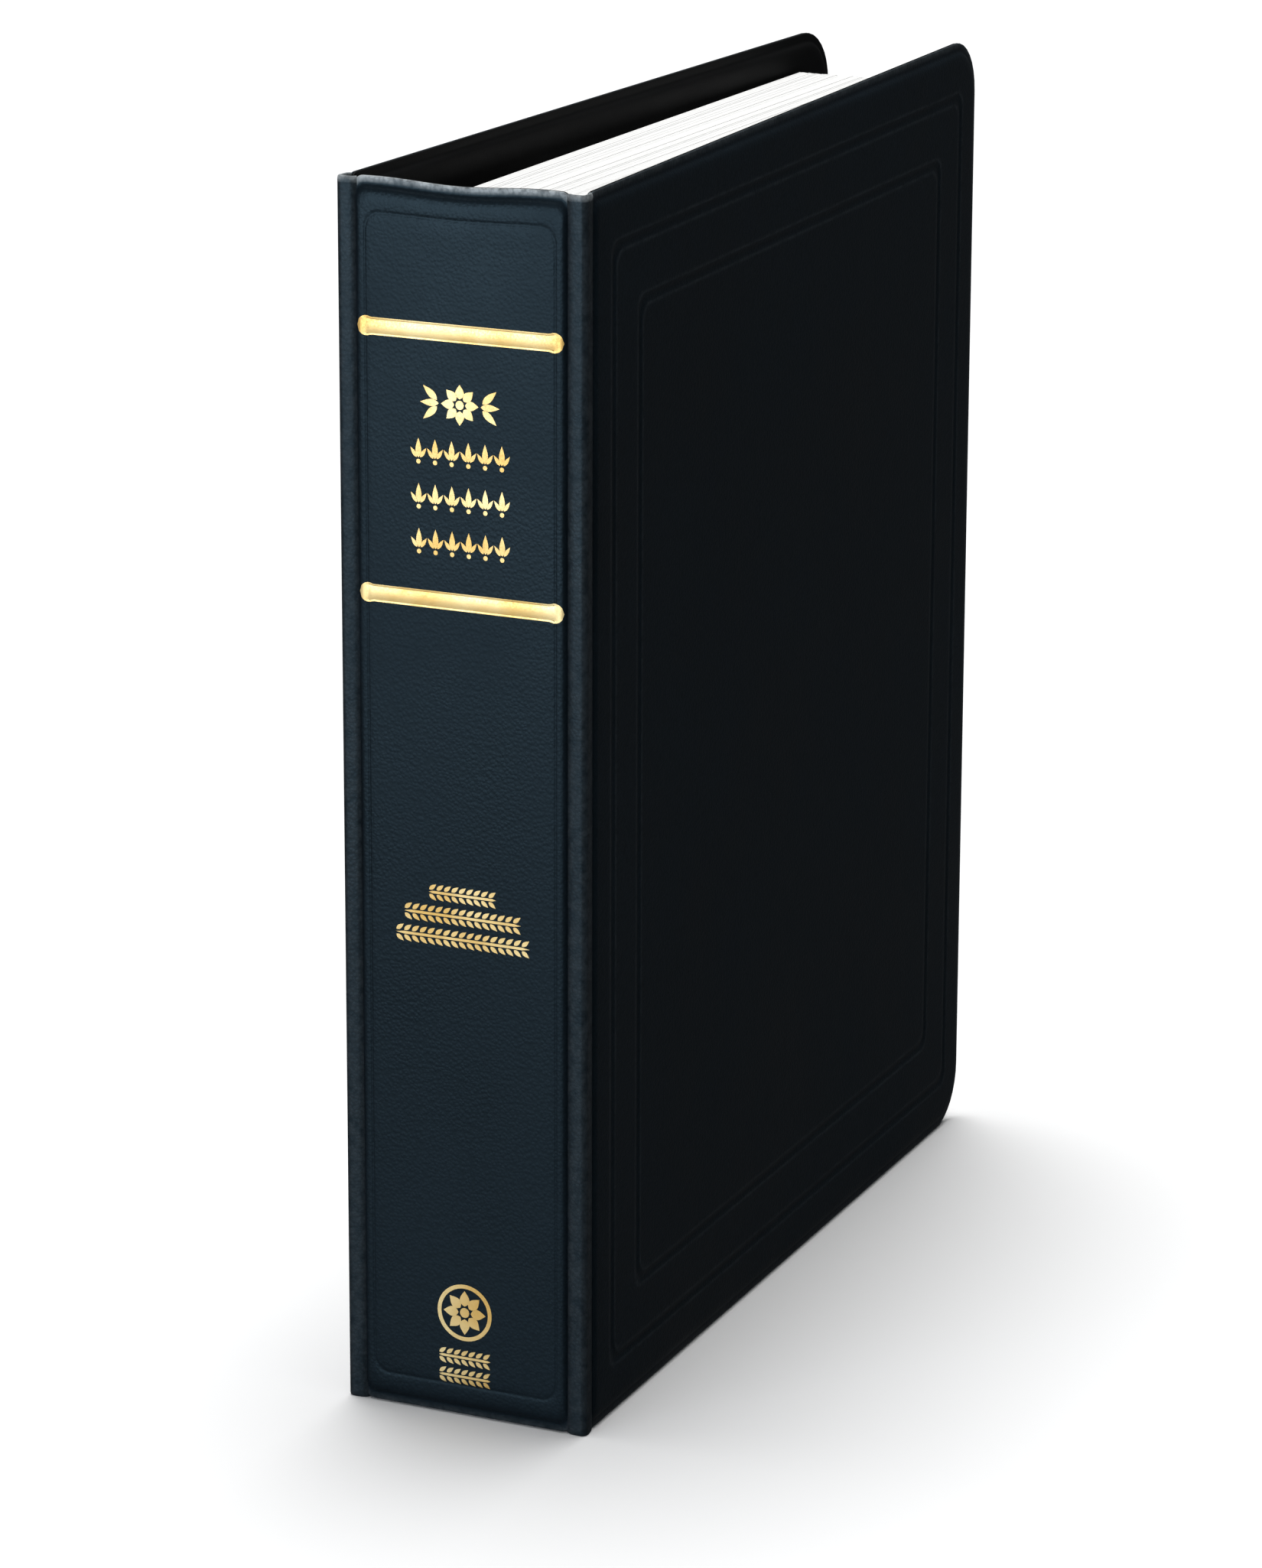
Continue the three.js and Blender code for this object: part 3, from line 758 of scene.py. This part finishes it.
def make_strip(name, axis, panel, away, replaced):
    """A thin vinyl strip over the joint between the spine and a cover.

    away is +1 where the spine runs away from the hinge along its own u axis, and -1
    where it runs the other way."""
    spine_u, spine_w = (AXES["spine"].col[i].to_2d() for i in (0, 2))
    cover = tuple(AXES[panel].col[i].to_2d() for i in (0, 2))
    spine = (away * spine_u, spine_w)
    section = strip_section(axis.to_2d(), spine, cover)
    loops, wear_and_highlight = [], []
    for z, share, pale_wear_and_highlight in strip_rows():
        spots = [point + across * STRIP_HALF * share for point, across in section]
        loops.append([Vector((spot.x, spot.y, z)) for spot in spots])
        wear_and_highlight += [pale_wear_and_highlight] * len(section)
    piece = make_object(name, *loft(loops), VINYL, smooth_angle=50)
    set_attribute(piece, "wear_and_highlight", wear_and_highlight)
    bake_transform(piece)
    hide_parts(replaced)


make_strip("back_hinge_strip", BACK_HINGE, "back_cover", 1, "back_hinge_weld")
make_strip("front_hinge_strip", FRONT_HINGE, "front_cover", -1, "front_hinge_weld")


# ---- gilt marks ------------------------------

SPINE_MIDDLE = SPINE_WIDTH / 2
FOIL_TOP = 0.05 * MM
FOIL_SUNK = 0.06 * MM
FOIL_POINT = 0.01 * MM

BAND_LENGTH = 46.8 * MM
BAND_HALF = 1.85 * MM
BAND_KNOB = 2.1 * MM
BAND_STEPS = 110
BAND_LINE_DEPTH = 0.045 * MM

# Half of a band's section: the share of its half width, and whether the foil is pressed
# into a fine line there.
BAND_SECTION = [(0.70, 0), (0.78, 1), (0.86, 0), (1, 0)]

FLOWER_PETALS = 8
FLEURON_RADIUS = 4.3 * MM
SPRAY_DISTANCE = 6.9 * MM
SPRAY_SPREAD = math.radians(42)
SPRAY_REACH = 0.6 * MM
SPRAY_PITCH = 1.7 * MM
SPRAY_LENGTH = 4.2 * MM
SPRAY_WIDTH = 1.5 * MM
ROSETTE_FLOWER = 5.0 * MM
ROSETTE_RADIUS = 6.4 * MM
ROSETTE_RIM = 0.9 * MM


def profile_height(loops, column, inset):
    """The skin's height at an inset, read off its loops between two rows."""
    for before, after in zip(loops, loops[1:]):
        if before[column] <= inset <= after[column] and after[column] > before[column]:
            share = (inset - before[column]) / (after[column] - before[column])
            return lerp(before[2], after[2], share)
    return loops[-1][2]


def spine_surface(u, v):
    """How high the spine's skin stands above the middle of the panel."""
    loops = EDGE_LOOPS[2:] + WELD_LINE_LOOPS + FLAT_LOOPS
    free = min(v, CASE_HEIGHT - v) / MM
    hinged = min(u - HINGE_GAP, SPINE_WIDTH - HINGE_GAP - u) / MM
    height = min(profile_height(loops, 0, free), profile_height(loops, 1, hinged)) * MM
    return height + swell("spine", u, v)


def foil_solid(rows, wrapped=False):
    """A thin closed patch of foil on the spine. rows[i][j] is (u, v, extra height)."""
    pairs = []
    for row in rows:
        line = []
        for u, v, extra in row:
            surface = spine_surface(u, v)
            front = to_frame("spine", u, v, surface + FOIL_TOP + extra)
            line.append((front, to_frame("spine", u, v, surface - FOIL_SUNK)))
        pairs.append(line)
    return slab(pairs, wrapped)


def foil_shape(centre, length, half_width, angle=0.0, steps=10):
    """A patch along one direction, whose half width is a function of the share along it."""
    along = unit(angle)
    aside = Vector((-along.y, along.x))
    rows = []
    for i in range(steps + 1):
        share = i / steps
        middle = centre + along * length * (share - 0.5)
        width = max(half_width(share), FOIL_POINT)
        rows.append([(*(middle + aside * width * k), 0.0) for k in (-1, -0.5, 0, 0.5, 1)])
    return foil_solid(rows)


def oval(centre, length, width, angle=0.0):
    return foil_shape(
        centre, length, lambda t: width / 2 * math.sqrt(max(0, 1 - (2 * t - 1) ** 2)), angle, 14
    )


def petal(centre, length, width, angle):
    return foil_shape(centre, length, lambda t: width / 2 * math.sin(math.pi * t ** 0.75), angle, 12)


def bar(centre, length, width, angle=0.0):
    def half(t):
        from_end = min(t, 1 - t) * length
        reach = width / 2
        return reach if from_end >= reach else math.sqrt(reach ** 2 - (reach - from_end) ** 2)
    return foil_shape(centre, length, half, angle, 18)


def ring(centre, inner, outer, steps=48):
    rows = []
    for i in range(steps):
        direction = unit(2 * math.pi * i / steps)
        rows.append([(*(centre + direction * r), 0.0) for r in (inner, (inner + outer) / 2, outer)])
    return foil_solid(rows, wrapped=True)


def gilt_band(height):
    """A broad band with two fine pressed lines along it and a round knob at each end."""
    section = [(-share, line) for share, line in BAND_SECTION[::-1]] + [(0, 0)] + BAND_SECTION
    half_length = BAND_LENGTH / 2
    rows = []
    for i in range(BAND_STEPS + 1):
        along = lerp(-half_length, half_length, i / BAND_STEPS)
        from_knob = abs(abs(along) - (half_length - BAND_KNOB))
        knob = math.sqrt(max(0.0, BAND_KNOB ** 2 - from_knob ** 2))
        inside = abs(along) < half_length - BAND_KNOB
        half = max(knob, BAND_HALF if inside else FOIL_POINT)
        pressed = -BAND_LINE_DEPTH if inside else 0.0
        rows.append([
            (SPINE_MIDDLE + along, height + half * share, pressed * line)
            for share, line in section
        ])
    return [foil_solid(rows)]


def frieze_unit(centre, tall, step):
    """An upright leaf between two leaning ones, over a bead."""
    shapes = [petal(centre + Vector((0, 0.12 * tall)), 0.76 * tall, 0.34 * step, math.pi / 2)]
    for side in (-1, 1):
        angle = math.pi / 2 - side * math.radians(34)
        direction = unit(angle)
        root = centre + Vector((side * 0.10 * step, -0.26 * tall))
        shapes.append(petal(root + direction * 0.24 * tall, 0.46 * tall, 0.22 * step, angle))
    bead = 0.26 * step
    shapes.append(oval(centre + Vector((0, -0.5 * tall + bead / 2)), bead, bead))
    return shapes


def repeats(width, pitch):
    """The distance between the repeats of a row, and where each of them stands."""
    count = round(width / pitch)
    step = width / count
    return step, [SPINE_MIDDLE - width / 2 + (i + 0.5) * step for i in range(count)]


def leaf_frieze(height, width, tall, pitch):
    step, places = repeats(width, pitch)
    shapes = []
    for u in places:
        shapes += frieze_unit(Vector((u, height)), tall, step)
    return shapes


def garland(height, width, tall, pitch):
    """A level stem with a pair of slanting leaves at every step."""
    _, places = repeats(width, pitch)
    stem = 0.15 * tall
    shapes = [bar(Vector((SPINE_MIDDLE, height)), width, stem)]
    slant = math.radians(38)
    for u in places:
        for side in (-1, 1):
            spot = Vector((u, height + side * (0.5 * stem + 0.24 * tall)))
            shapes.append(petal(spot, 0.56 * tall, 0.25 * tall, side * slant))
    return shapes


def flower(centre, radius, petals):
    shapes = [oval(centre, 0.44 * radius, 0.44 * radius)]
    for i in range(petals):
        angle = 2 * math.pi * i / petals
        direction = unit(angle)
        shapes.append(petal(centre + direction * 0.64 * radius, 0.70 * radius, 0.46 * radius, angle))
    return shapes


def title_fleuron(height):
    """A flower between two sprays of three leaves."""
    centre = Vector((SPINE_MIDDLE, height))
    shapes = flower(centre, FLEURON_RADIUS, FLOWER_PETALS)
    for side in (-1, 1):
        base = centre + Vector((side * SPRAY_DISTANCE, 0))
        for lift in (-1, 0, 1):
            tilt = SPRAY_SPREAD * lift
            direction = Vector((side * math.cos(tilt), math.sin(tilt)))
            angle = math.atan2(direction.y, direction.x)
            offset = direction * SPRAY_REACH + Vector((-side * SPRAY_REACH, SPRAY_PITCH * lift))
            shapes.append(petal(base + offset, SPRAY_LENGTH, SPRAY_WIDTH, angle))
    return shapes


def foot_rosette(height):
    centre = Vector((SPINE_MIDDLE, height))
    rim = ring(centre, ROSETTE_RADIUS - ROSETTE_RIM, ROSETTE_RADIUS)
    return flower(centre, ROSETTE_FLOWER, FLOWER_PETALS) + [rim]


def make_gilding():
    """Every gilt mark on the spine. The rows' heights and sizes are in millimetres."""
    marks = [
        ("upper_gilt_band", gilt_band(middle_height("upper_gilt_rule")), "upper_gilt_rule"),
        ("lower_gilt_band", gilt_band(middle_height("lower_gilt_rule")), "lower_gilt_rule"),
        ("title_fleuron", title_fleuron(221.7 * MM), None),
        ("foot_rosette", foot_rosette(23.7 * MM), None),
    ]
    rows = [
        ("title_frieze_1", leaf_frieze, 211.3, 22.8, 5.4, 3.8),
        ("title_frieze_2", leaf_frieze, 201.8, 22.8, 5.4, 3.8),
        ("title_frieze_3", leaf_frieze, 192.3, 22.8, 5.4, 3.8),
        ("middle_garland_1", garland, 116.8, 15.5, 3.6, 1.7),
        ("middle_garland_2", garland, 112.0, 27.0, 3.8, 1.8),
        ("middle_garland_3", garland, 107.1, 31.0, 3.8, 1.8),
        ("foot_garland_1", garland, 13.4, 12.1, 3.6, 1.7),
        ("foot_garland_2", garland, 9.0, 12.1, 3.6, 1.7),
    ]
    for name, row, height, width, tall, pitch in rows:
        marks.append((name, row(height * MM, width * MM, tall * MM, pitch * MM), None))
    for name, shapes, replaced in marks:
        piece = make_object(name, *join_shapes(shapes), FOIL, smooth_angle=30)
        place(piece, "spine", "gilt_foil", *([replaced] if replaced else []))


make_gilding()


# ---- ring mechanism --------------------------

WIRE_SIDES = 28
WIRE_ARC_STEPS = 40
WIRE_LEG_STEPS = 8
TIP_ROUNDING = 0.5 * MM
COLLAR_RADIUS = 3.1 * MM
COLLAR_HEIGHT = 0.7 * MM
COLLAR_ROUNDING = 0.35 * MM
COLLAR_SHOULDER = 0.6  # the share of its height where the rounding starts


def tube(path, radius):
    """A round wire along a path that lies level, with its far tip slightly rounded."""
    up = Vector((0, 0, 1))
    stations = [(point, ahead, radius) for point, ahead in zip(path, directions(path))]
    tip, ahead, _ = stations.pop()
    for back, narrower in ((1, 0), (0.3, 0.3), (0, 1)):
        spot = tip - ahead * TIP_ROUNDING * back
        stations.append((spot, ahead, radius - TIP_ROUNDING * narrower))
    loops = []
    for point, ahead, size in stations:
        aside = up.cross(ahead)
        angles = (2 * math.pi * k / WIRE_SIDES for k in range(WIRE_SIDES))
        loops.append([point + (aside * math.cos(a) + up * math.sin(a)) * size for a in angles])
    return loft(loops)


def ring_path(foot_x, foot_y, first_angle, last_angle, z):
    """Up a straight leg, then round the ring's arc. Angles run from +X towards -Y."""
    path = []
    for i in range(WIRE_LEG_STEPS):
        path.append(Vector((foot_x, lerp(foot_y, RING_CENTRE.y, i / WIRE_LEG_STEPS), z)))
    for i in range(WIRE_ARC_STEPS + 1):
        angle = lerp(first_angle, last_angle, i / WIRE_ARC_STEPS)
        path.append(Vector((
            RING_CENTRE.x + RING_RADIUS * math.cos(angle),
            RING_CENTRE.y - RING_RADIUS * math.sin(angle),
            z,
        )))
    return path


def turned(profile, centre, steps=40):
    """A solid of revolution about a line along Y. profile is a closed list of (radius, y)."""
    vertices, faces = [], []
    for k in range(steps):
        angle = 2 * math.pi * k / steps
        for radius, y in profile:
            vertices.append(Vector((
                centre.x + radius * math.cos(angle), y, centre.z + radius * math.sin(angle),
            )))
    count = len(profile)
    for k in range(steps):
        faces += bridge(k * count, ((k + 1) % steps) * count, count)
    return vertices, faces


def collar(centre):
    """A low rounded washer round a post, standing on the housing and facing -Y."""
    bore = WIRE_RADIUS * 0.9
    top = COLLAR_RADIUS - COLLAR_ROUNDING
    profile = [(bore, 0), (COLLAR_RADIUS, 0), (COLLAR_RADIUS, COLLAR_SHOULDER), (top, 1), (bore, 1)]
    return turned([(radius, centre.y - share * COLLAR_HEIGHT) for radius, share in profile], centre)


def make_rings():
    """Three rings: a fixed half with a collar at its foot, and a half that swings."""
    housing_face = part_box("ring_housing")[0].y
    for place_name, z in RING_HEIGHTS.items():
        post, arc = f"ring_post_{place_name}", f"ring_arc_{place_name}"
        path = ring_path(POST_X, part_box(post)[1].y, 0, RING_PARTING, z)
        foot = Vector((POST_X, housing_face, z))
        shape = join_shapes([tube(path, WIRE_RADIUS), collar(foot)])
        piece = make_object(f"{post}_wire", *shape, STEEL)
        place(piece, "back_cover", "nickel_steel", post)

        path = ring_path(SHAFT_AXIS.x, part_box(arc)[1].y, math.pi, RING_PARTING + RING_TIP_GAP, z)
        piece = make_object(f"{arc}_wire", *tube(path, WIRE_RADIUS), STEEL)
        place(piece, "ring_arcs", "nickel_steel", arc)


make_rings()


HOUSING_WALL = 0.9 * MM
HOUSING_BEND = 1.4 * MM
BEND_STEPS = 8
SLOT_LEFT = SHAFT_AXIS.x - 3.5 * MM
SLOT_RIGHT = SHAFT_AXIS.x + 2.6 * MM
SLOT_HALF_HEIGHT = 2.6 * MM


def rounded_channel(low, high, wall, radius):
    """Outer and inner outlines, in plan, of a channel that opens towards +Y."""
    def outline(inset):
        left, right, top = low.x + inset, high.x - inset, low.y + inset
        bend = radius - inset
        halfway = lerp(high.y, top + bend, 0.5)
        return [
            (left, high.y),
            (left, halfway),
            *quarter(left + bend, top + bend, bend, 180, BEND_STEPS),
            *quarter(right - bend, top + bend, bend, 270, BEND_STEPS),
            (right, halfway),
            (right, high.y),
        ]
    return outline(0), outline(wall)


def make_housing():
    """The channel that holds the mechanism, with a slot for each ring's swinging half."""
    low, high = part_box("ring_housing")
    outer, inner = rounded_channel(low, high, HOUSING_WALL, HOUSING_BEND)
    flat_start = 2 + BEND_STEPS
    for outline in (outer, inner):
        level = outline[flat_start][1]
        split = (SLOT_LEFT, SLOT_RIGHT, (SLOT_RIGHT + high.x) / 2)
        outline[flat_start + 1 : flat_start + 1] = [(x, level) for x in split]
    slot_starts = [z - SLOT_HALF_HEIGHT for z in RING_HEIGHTS.values()]
    slot_ends = [z + SLOT_HALF_HEIGHT for z in RING_HEIGHTS.values()]
    heights = sorted([low.z, high.z, *slot_starts, *slot_ends])

    def is_slot(i, j):
        return i == flat_start + 1 and heights[j] in slot_starts

    rows = [[(Vector((*a, z)), Vector((*b, z))) for z in heights] for a, b in zip(outer, inner)]
    piece = make_object("ring_housing_channel", *slab(rows, is_hole=is_slot), STEEL, 40)
    place(piece, "back_cover", "nickel_steel", "ring_housing")


make_housing()


RIVET_SHANK = 1.8 * MM
RIVET_DOME = 1.4 * MM
RIVET_TAIL = 0.7 * MM
RIVET_LIP = 0.1 * MM
DOME_STEPS = 8

# Stands for zero where a turned solid meets its axis, so that no edge is lost there.
AXIS_RADIUS = 0.001 * MM


def make_rivets():
    """The two rivets of the housing, with a domed head in front and a flat tail behind."""
    for place_name in ("bottom", "top"):
        node = f"housing_rivet_{place_name}"
        low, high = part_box(node)
        head = (high.x - low.x) / 2
        base = low.y + RIVET_DOME
        tail = high.y - RIVET_TAIL
        profile = [
            (AXIS_RADIUS, high.y), (head, high.y), (head, tail),
            (RIVET_SHANK, tail), (RIVET_SHANK, base), (head - RIVET_LIP, base),
        ]
        for k in range(1, DOME_STEPS + 1):
            angle = math.radians(90 * k / DOME_STEPS)
            radius = max(head * math.cos(angle), AXIS_RADIUS)
            profile.append((radius, base - RIVET_DOME * math.sin(angle)))
        piece = make_object(f"{node}_head", *turned(profile, (low + high) / 2), STEEL)
        place(piece, "back_cover", "nickel_steel", node)


make_rivets()


# A lever's middle line, from its foot in the housing to the end of its tab: how far it
# stands off its pivot, away from the back cover, and how far outwards it lies, in
# millimetres, and the share of its full width.
LEVER_LINE = [
    (0.0, -2.1, 1.0), (0.0, -0.2, 1.0), (0.25, 0.45, 1.0), (0.9, 0.72, 1.0),
    (3.0, 0.72, 1.0), (6.0, 0.72, 1.0), (9.0, 0.72, 1.0), (11.5, 0.78, 1.0),
    (12.8, 1.15, 1.0), (13.9, 1.75, 0.97), (14.9, 2.35, 0.86), (15.5, 2.7, 0.62),
]
LEVER_THICKNESS = 1.2 * MM
LEVER_STEPS = 8
LEVER_ROUNDING = 0.22 * MM


def lever_grid(low, high, pivot, side):
    """A lever's vertex pairs. side is +1 for the lever at the head and -1 at the foot."""
    middle = (low.x + high.x) / 2
    half = (high.x - low.x) / 2
    rows = []
    line = [Vector(row[:2]) for row in LEVER_LINE]
    for (rise, out, share), along in zip(LEVER_LINE, directions(line)):
        edges = []
        for face in (-0.5, 0.5):
            y = pivot.y - (rise * MM - along.y * LEVER_THICKNESS * face)
            z = pivot.z + side * (out * MM + along.x * LEVER_THICKNESS * face)
            edges.append((y, z))
        spots = [middle + half * share * (2 * i / LEVER_STEPS - 1) for i in range(LEVER_STEPS + 1)]
        rows.append([[Vector((x, y, z)) for y, z in edges] for x in spots])
    return rows


def make_levers():
    """Bent sheet levers: a foot in the housing, an upright and a flared, rounded tab."""
    for node, side in (("top_lever", 1), ("bottom_lever", -1)):
        pivot = Vector(JOINTS[f"{node}_tilt"]["pos_m"])
        shape = slab(lever_grid(*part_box(node), pivot, side))
        piece = make_object(f"{node}_tab", *shape, STEEL, 40)
        bevel = piece.modifiers.new("edges", "BEVEL")
        bevel.width = LEVER_ROUNDING
        bevel.segments = 3
        bevel.limit_method = "ANGLE"
        bevel.angle_limit = math.radians(50)
        place(piece, node, "nickel_steel", node)


make_levers()
frame["nodes"]["swing_shaft"].material_slots[0].material = STEEL
for PANEL in PANELS:
    frame["nodes"][f"{PANEL}_board"].material_slots[0].material = BOARD


# ---- leaves ----------------------------------

LEAF_WIDTH = 178 * MM
LEAF_HEIGHT = 254 * MM
LEAF_BOTTOM = 5 * MM
LEAF_CORNER = 1.2 * MM
LEAF_HOLE_RADIUS = 3 * MM
LEAF_HOLE_INSET = 12.7 * MM
HOLE_STEPS = 20

BLOCK_DEPTH = 9.75 * MM
PACKET_PITCH = 4.1 * MM
PACKET_THICKNESS = 4.06 * MM
TURNING_THICKNESS = 4.0 * MM
FIRST_PACKET_DEPTH = 0.65 * MM
PACKET_COUNT = 6
LEAF_ORIGIN = Vector((POST_X, BACK_HINGE.y + FACE_HEIGHT * MM - BLOCK_DEPTH, 0))
LEAF_AXES = Matrix.Translation(LEAF_ORIGIN) @ Matrix.Rotation(LEAF_LEAN, 4, "Z")

# A packet is drawn as a few thick sheets. Each lies a little out of line, and its holes
# follow it by a share of that. The shift and the lift are in millimetres.
SHEETS_PER_PACKET = 7
SHEET_GAP = 0.02 * MM
SHEET_SHIFT = 0.35
SHEET_LIFT = 0.13
HOLE_SHIFT = 0.5
HOLE_LIFT = 0.3

LIFTER_WIDTH = 52 * MM
LIFTER_INSET = 3 * MM
LIFTER_CORNER = 4 * MM
LIFTER_THICKNESS = 0.5 * MM


def rounded_outline(left, right, bottom, top, radius, steps=4):
    return sum(corner_arcs(left, right, bottom, top, radius, radius, steps), [])


def punched_plate(outline, holes, rear, front):
    """A flat plate between two depths, with round holes, in the leaves' own axes."""
    loops = [outline]
    rim = [LEAF_HOLE_RADIUS * unit(-2 * math.pi * k / HOLE_STEPS) for k in range(HOLE_STEPS)]
    loops += [[Vector(hole) + spoke for spoke in rim] for hole in holes]
    flat = [point for loop in loops for point in loop]
    triangles = tessellate_polygon([[p.to_3d() for p in loop] for loop in loops])
    count = len(flat)
    vertices = [LEAF_AXES @ Vector((p.x, y, p.y)) for y in (rear, front) for p in flat]
    faces = [tuple(t) for t in triangles] + [tuple(i + count for i in reversed(t)) for t in triangles]
    first = 0
    for loop in loops:
        size = len(loop)
        for k in range(size):
            a, b = first + k, first + (k + 1) % size
            faces.append((a, b, b + count, a + count))
        first += size
    return vertices, faces


def ring_offset(depth):
    """How far a ring's wire lies from the post's line, along a leaf, at a depth in the block."""
    past_centre = depth - (LEAF_ORIGIN.y - RING_CENTRE.y)
    if past_centre <= 0:
        return 0.0
    return math.sqrt(RING_RADIUS ** 2 - past_centre ** 2) - RING_RADIUS


def make_packet(node, body, first_depth, thickness, seed):
    """A packet of a few dozen leaves, as thin punched plates that don't quite line up."""
    chance = random.Random(seed)
    pitch = thickness / SHEETS_PER_PACKET
    shapes, edge_flags = [], []
    for i in range(SHEETS_PER_PACKET):
        depth = first_depth + i * pitch
        middle = depth + pitch / 2
        shift_x = chance.uniform(-SHEET_SHIFT, SHEET_SHIFT) * MM
        shift_z = chance.uniform(0.0, SHEET_LIFT) * MM
        left = -LEAF_HOLE_INSET + shift_x
        bottom = LEAF_BOTTOM + shift_z
        outline = rounded_outline(
            left, left + LEAF_WIDTH, bottom, bottom + LEAF_HEIGHT, LEAF_CORNER
        )
        hole_x = ring_offset(middle) - middle * math.tan(LEAF_LEAN) + HOLE_SHIFT * shift_x
        holes = [(hole_x, height + HOLE_LIFT * shift_z) for height in RING_HEIGHTS.values()]
        vertices, faces = punched_plate(outline, holes, -depth, -(depth + pitch - SHEET_GAP))
        shapes.append((vertices, faces))
        sides = len(outline) + HOLE_STEPS * len(holes)
        edge_flags += [0.0] * (len(faces) - sides) + [1.0] * sides
    piece = make_object(f"{node}_sheets", *join_shapes(shapes), PAPER, 30)
    set_attribute(piece, "cut_edge", edge_flags, "FACE")
    place(piece, body, "leaf_paper", node)


def make_leaves():
    """Six packets that lie on the back cover, and one that turns with the front cover."""
    for i in range(PACKET_COUNT):
        depth = FIRST_PACKET_DEPTH + i * PACKET_PITCH
        make_packet(f"leaf_packet_{i + 1}", "back_cover", depth, PACKET_THICKNESS, i + 11)
    depth = FIRST_PACKET_DEPTH + PACKET_COUNT * PACKET_PITCH
    make_packet("turning_leaves", "turning_leaves", depth, TURNING_THICKNESS, 29)


make_leaves()


def make_lifter():
    """A thin plastic sheet behind the leaves, which lifts them as the binder opens."""
    outline = rounded_outline(
        -LEAF_HOLE_INSET,
        -LEAF_HOLE_INSET + LIFTER_WIDTH,
        LEAF_BOTTOM + LIFTER_INSET,
        LEAF_BOTTOM + LEAF_HEIGHT - LIFTER_INSET,
        LIFTER_CORNER,
        8,
    )
    holes = [(0.0, height) for height in RING_HEIGHTS.values()]
    shape = punched_plate(outline, holes, 0.0, -LIFTER_THICKNESS)
    piece = make_object("rear_lifter_sheet", *shape, LIFTER, 30)
    place(piece, "back_cover", "lifter_plastic", "rear_sheet_lifter")


make_lifter()


# ---- stage -----------------------------------

FLOOR_HALF = 9.0


def floor_material():
    nodes = Nodes("floor")
    cloud = nodes.noise(nodes.position(), 1.3, detail=2)
    colour = nodes.ramp(cloud, (0.82, 0.82, 0.82), (0.85, 0.85, 0.85), 0.2, 0.8)
    roughness = nodes.span(cloud, 0.8, 0.9)
    return nodes.finish(colour, roughness, Specular_IOR_Level=0.1)


def make_floor():
    """A plain pale floor. It is left out of glossy reflections, so that black stays black."""
    level = CAD_BOX[0].z
    mesh = bpy.data.meshes.new("floor")
    signs = [(-1, -1), (1, -1), (1, 1), (-1, 1)]
    corners = [(FLOOR_HALF * x, FLOOR_HALF * y, level) for x, y in signs]
    mesh.from_pydata(corners, [], [(0, 1, 2, 3)])
    mesh.materials.append(floor_material())
    floor = add_object("floor", mesh)
    floor.visible_glossy = False


def add_light(name, kind, location, energy):
    data = bpy.data.lights.new(name, kind)
    data.energy = energy
    light = add_object(name, data)
    light.location = location
    return light


def make_light():
    """A soft light from above and behind for the floor, and a broad, cool one for the spine."""
    overhead = add_light("overhead", "SUN", (0, 0, 3), 4.1)
    overhead.data.angle = math.radians(46)
    overhead.rotation_euler = (math.radians(-5.5), math.radians(10.5), 0)

    softbox = add_light("left_softbox", "AREA", (-1.7, 0.45, 0.14), 20)
    softbox.data.shape = "RECTANGLE"
    softbox.data.size = 1.0
    softbox.data.size_y = 0.5
    softbox.data.color = (0.90, 0.94, 1.0)
    towards_spine = Vector((-0.1, 0.0, 0.12)) - softbox.location
    softbox.rotation_euler = towards_spine.to_track_quat("-Z", "Y").to_euler()

    world = bpy.data.worlds.new("studio")
    world.use_nodes = True
    background = world.node_tree.nodes["Background"]
    background.inputs["Color"].default_value = (0.92, 0.96, 1.0, 1)
    background.inputs["Strength"].default_value = 0.07
    bpy.context.scene.world = world
    bpy.context.scene.view_settings.view_transform = "Standard"


make_floor()
make_light()
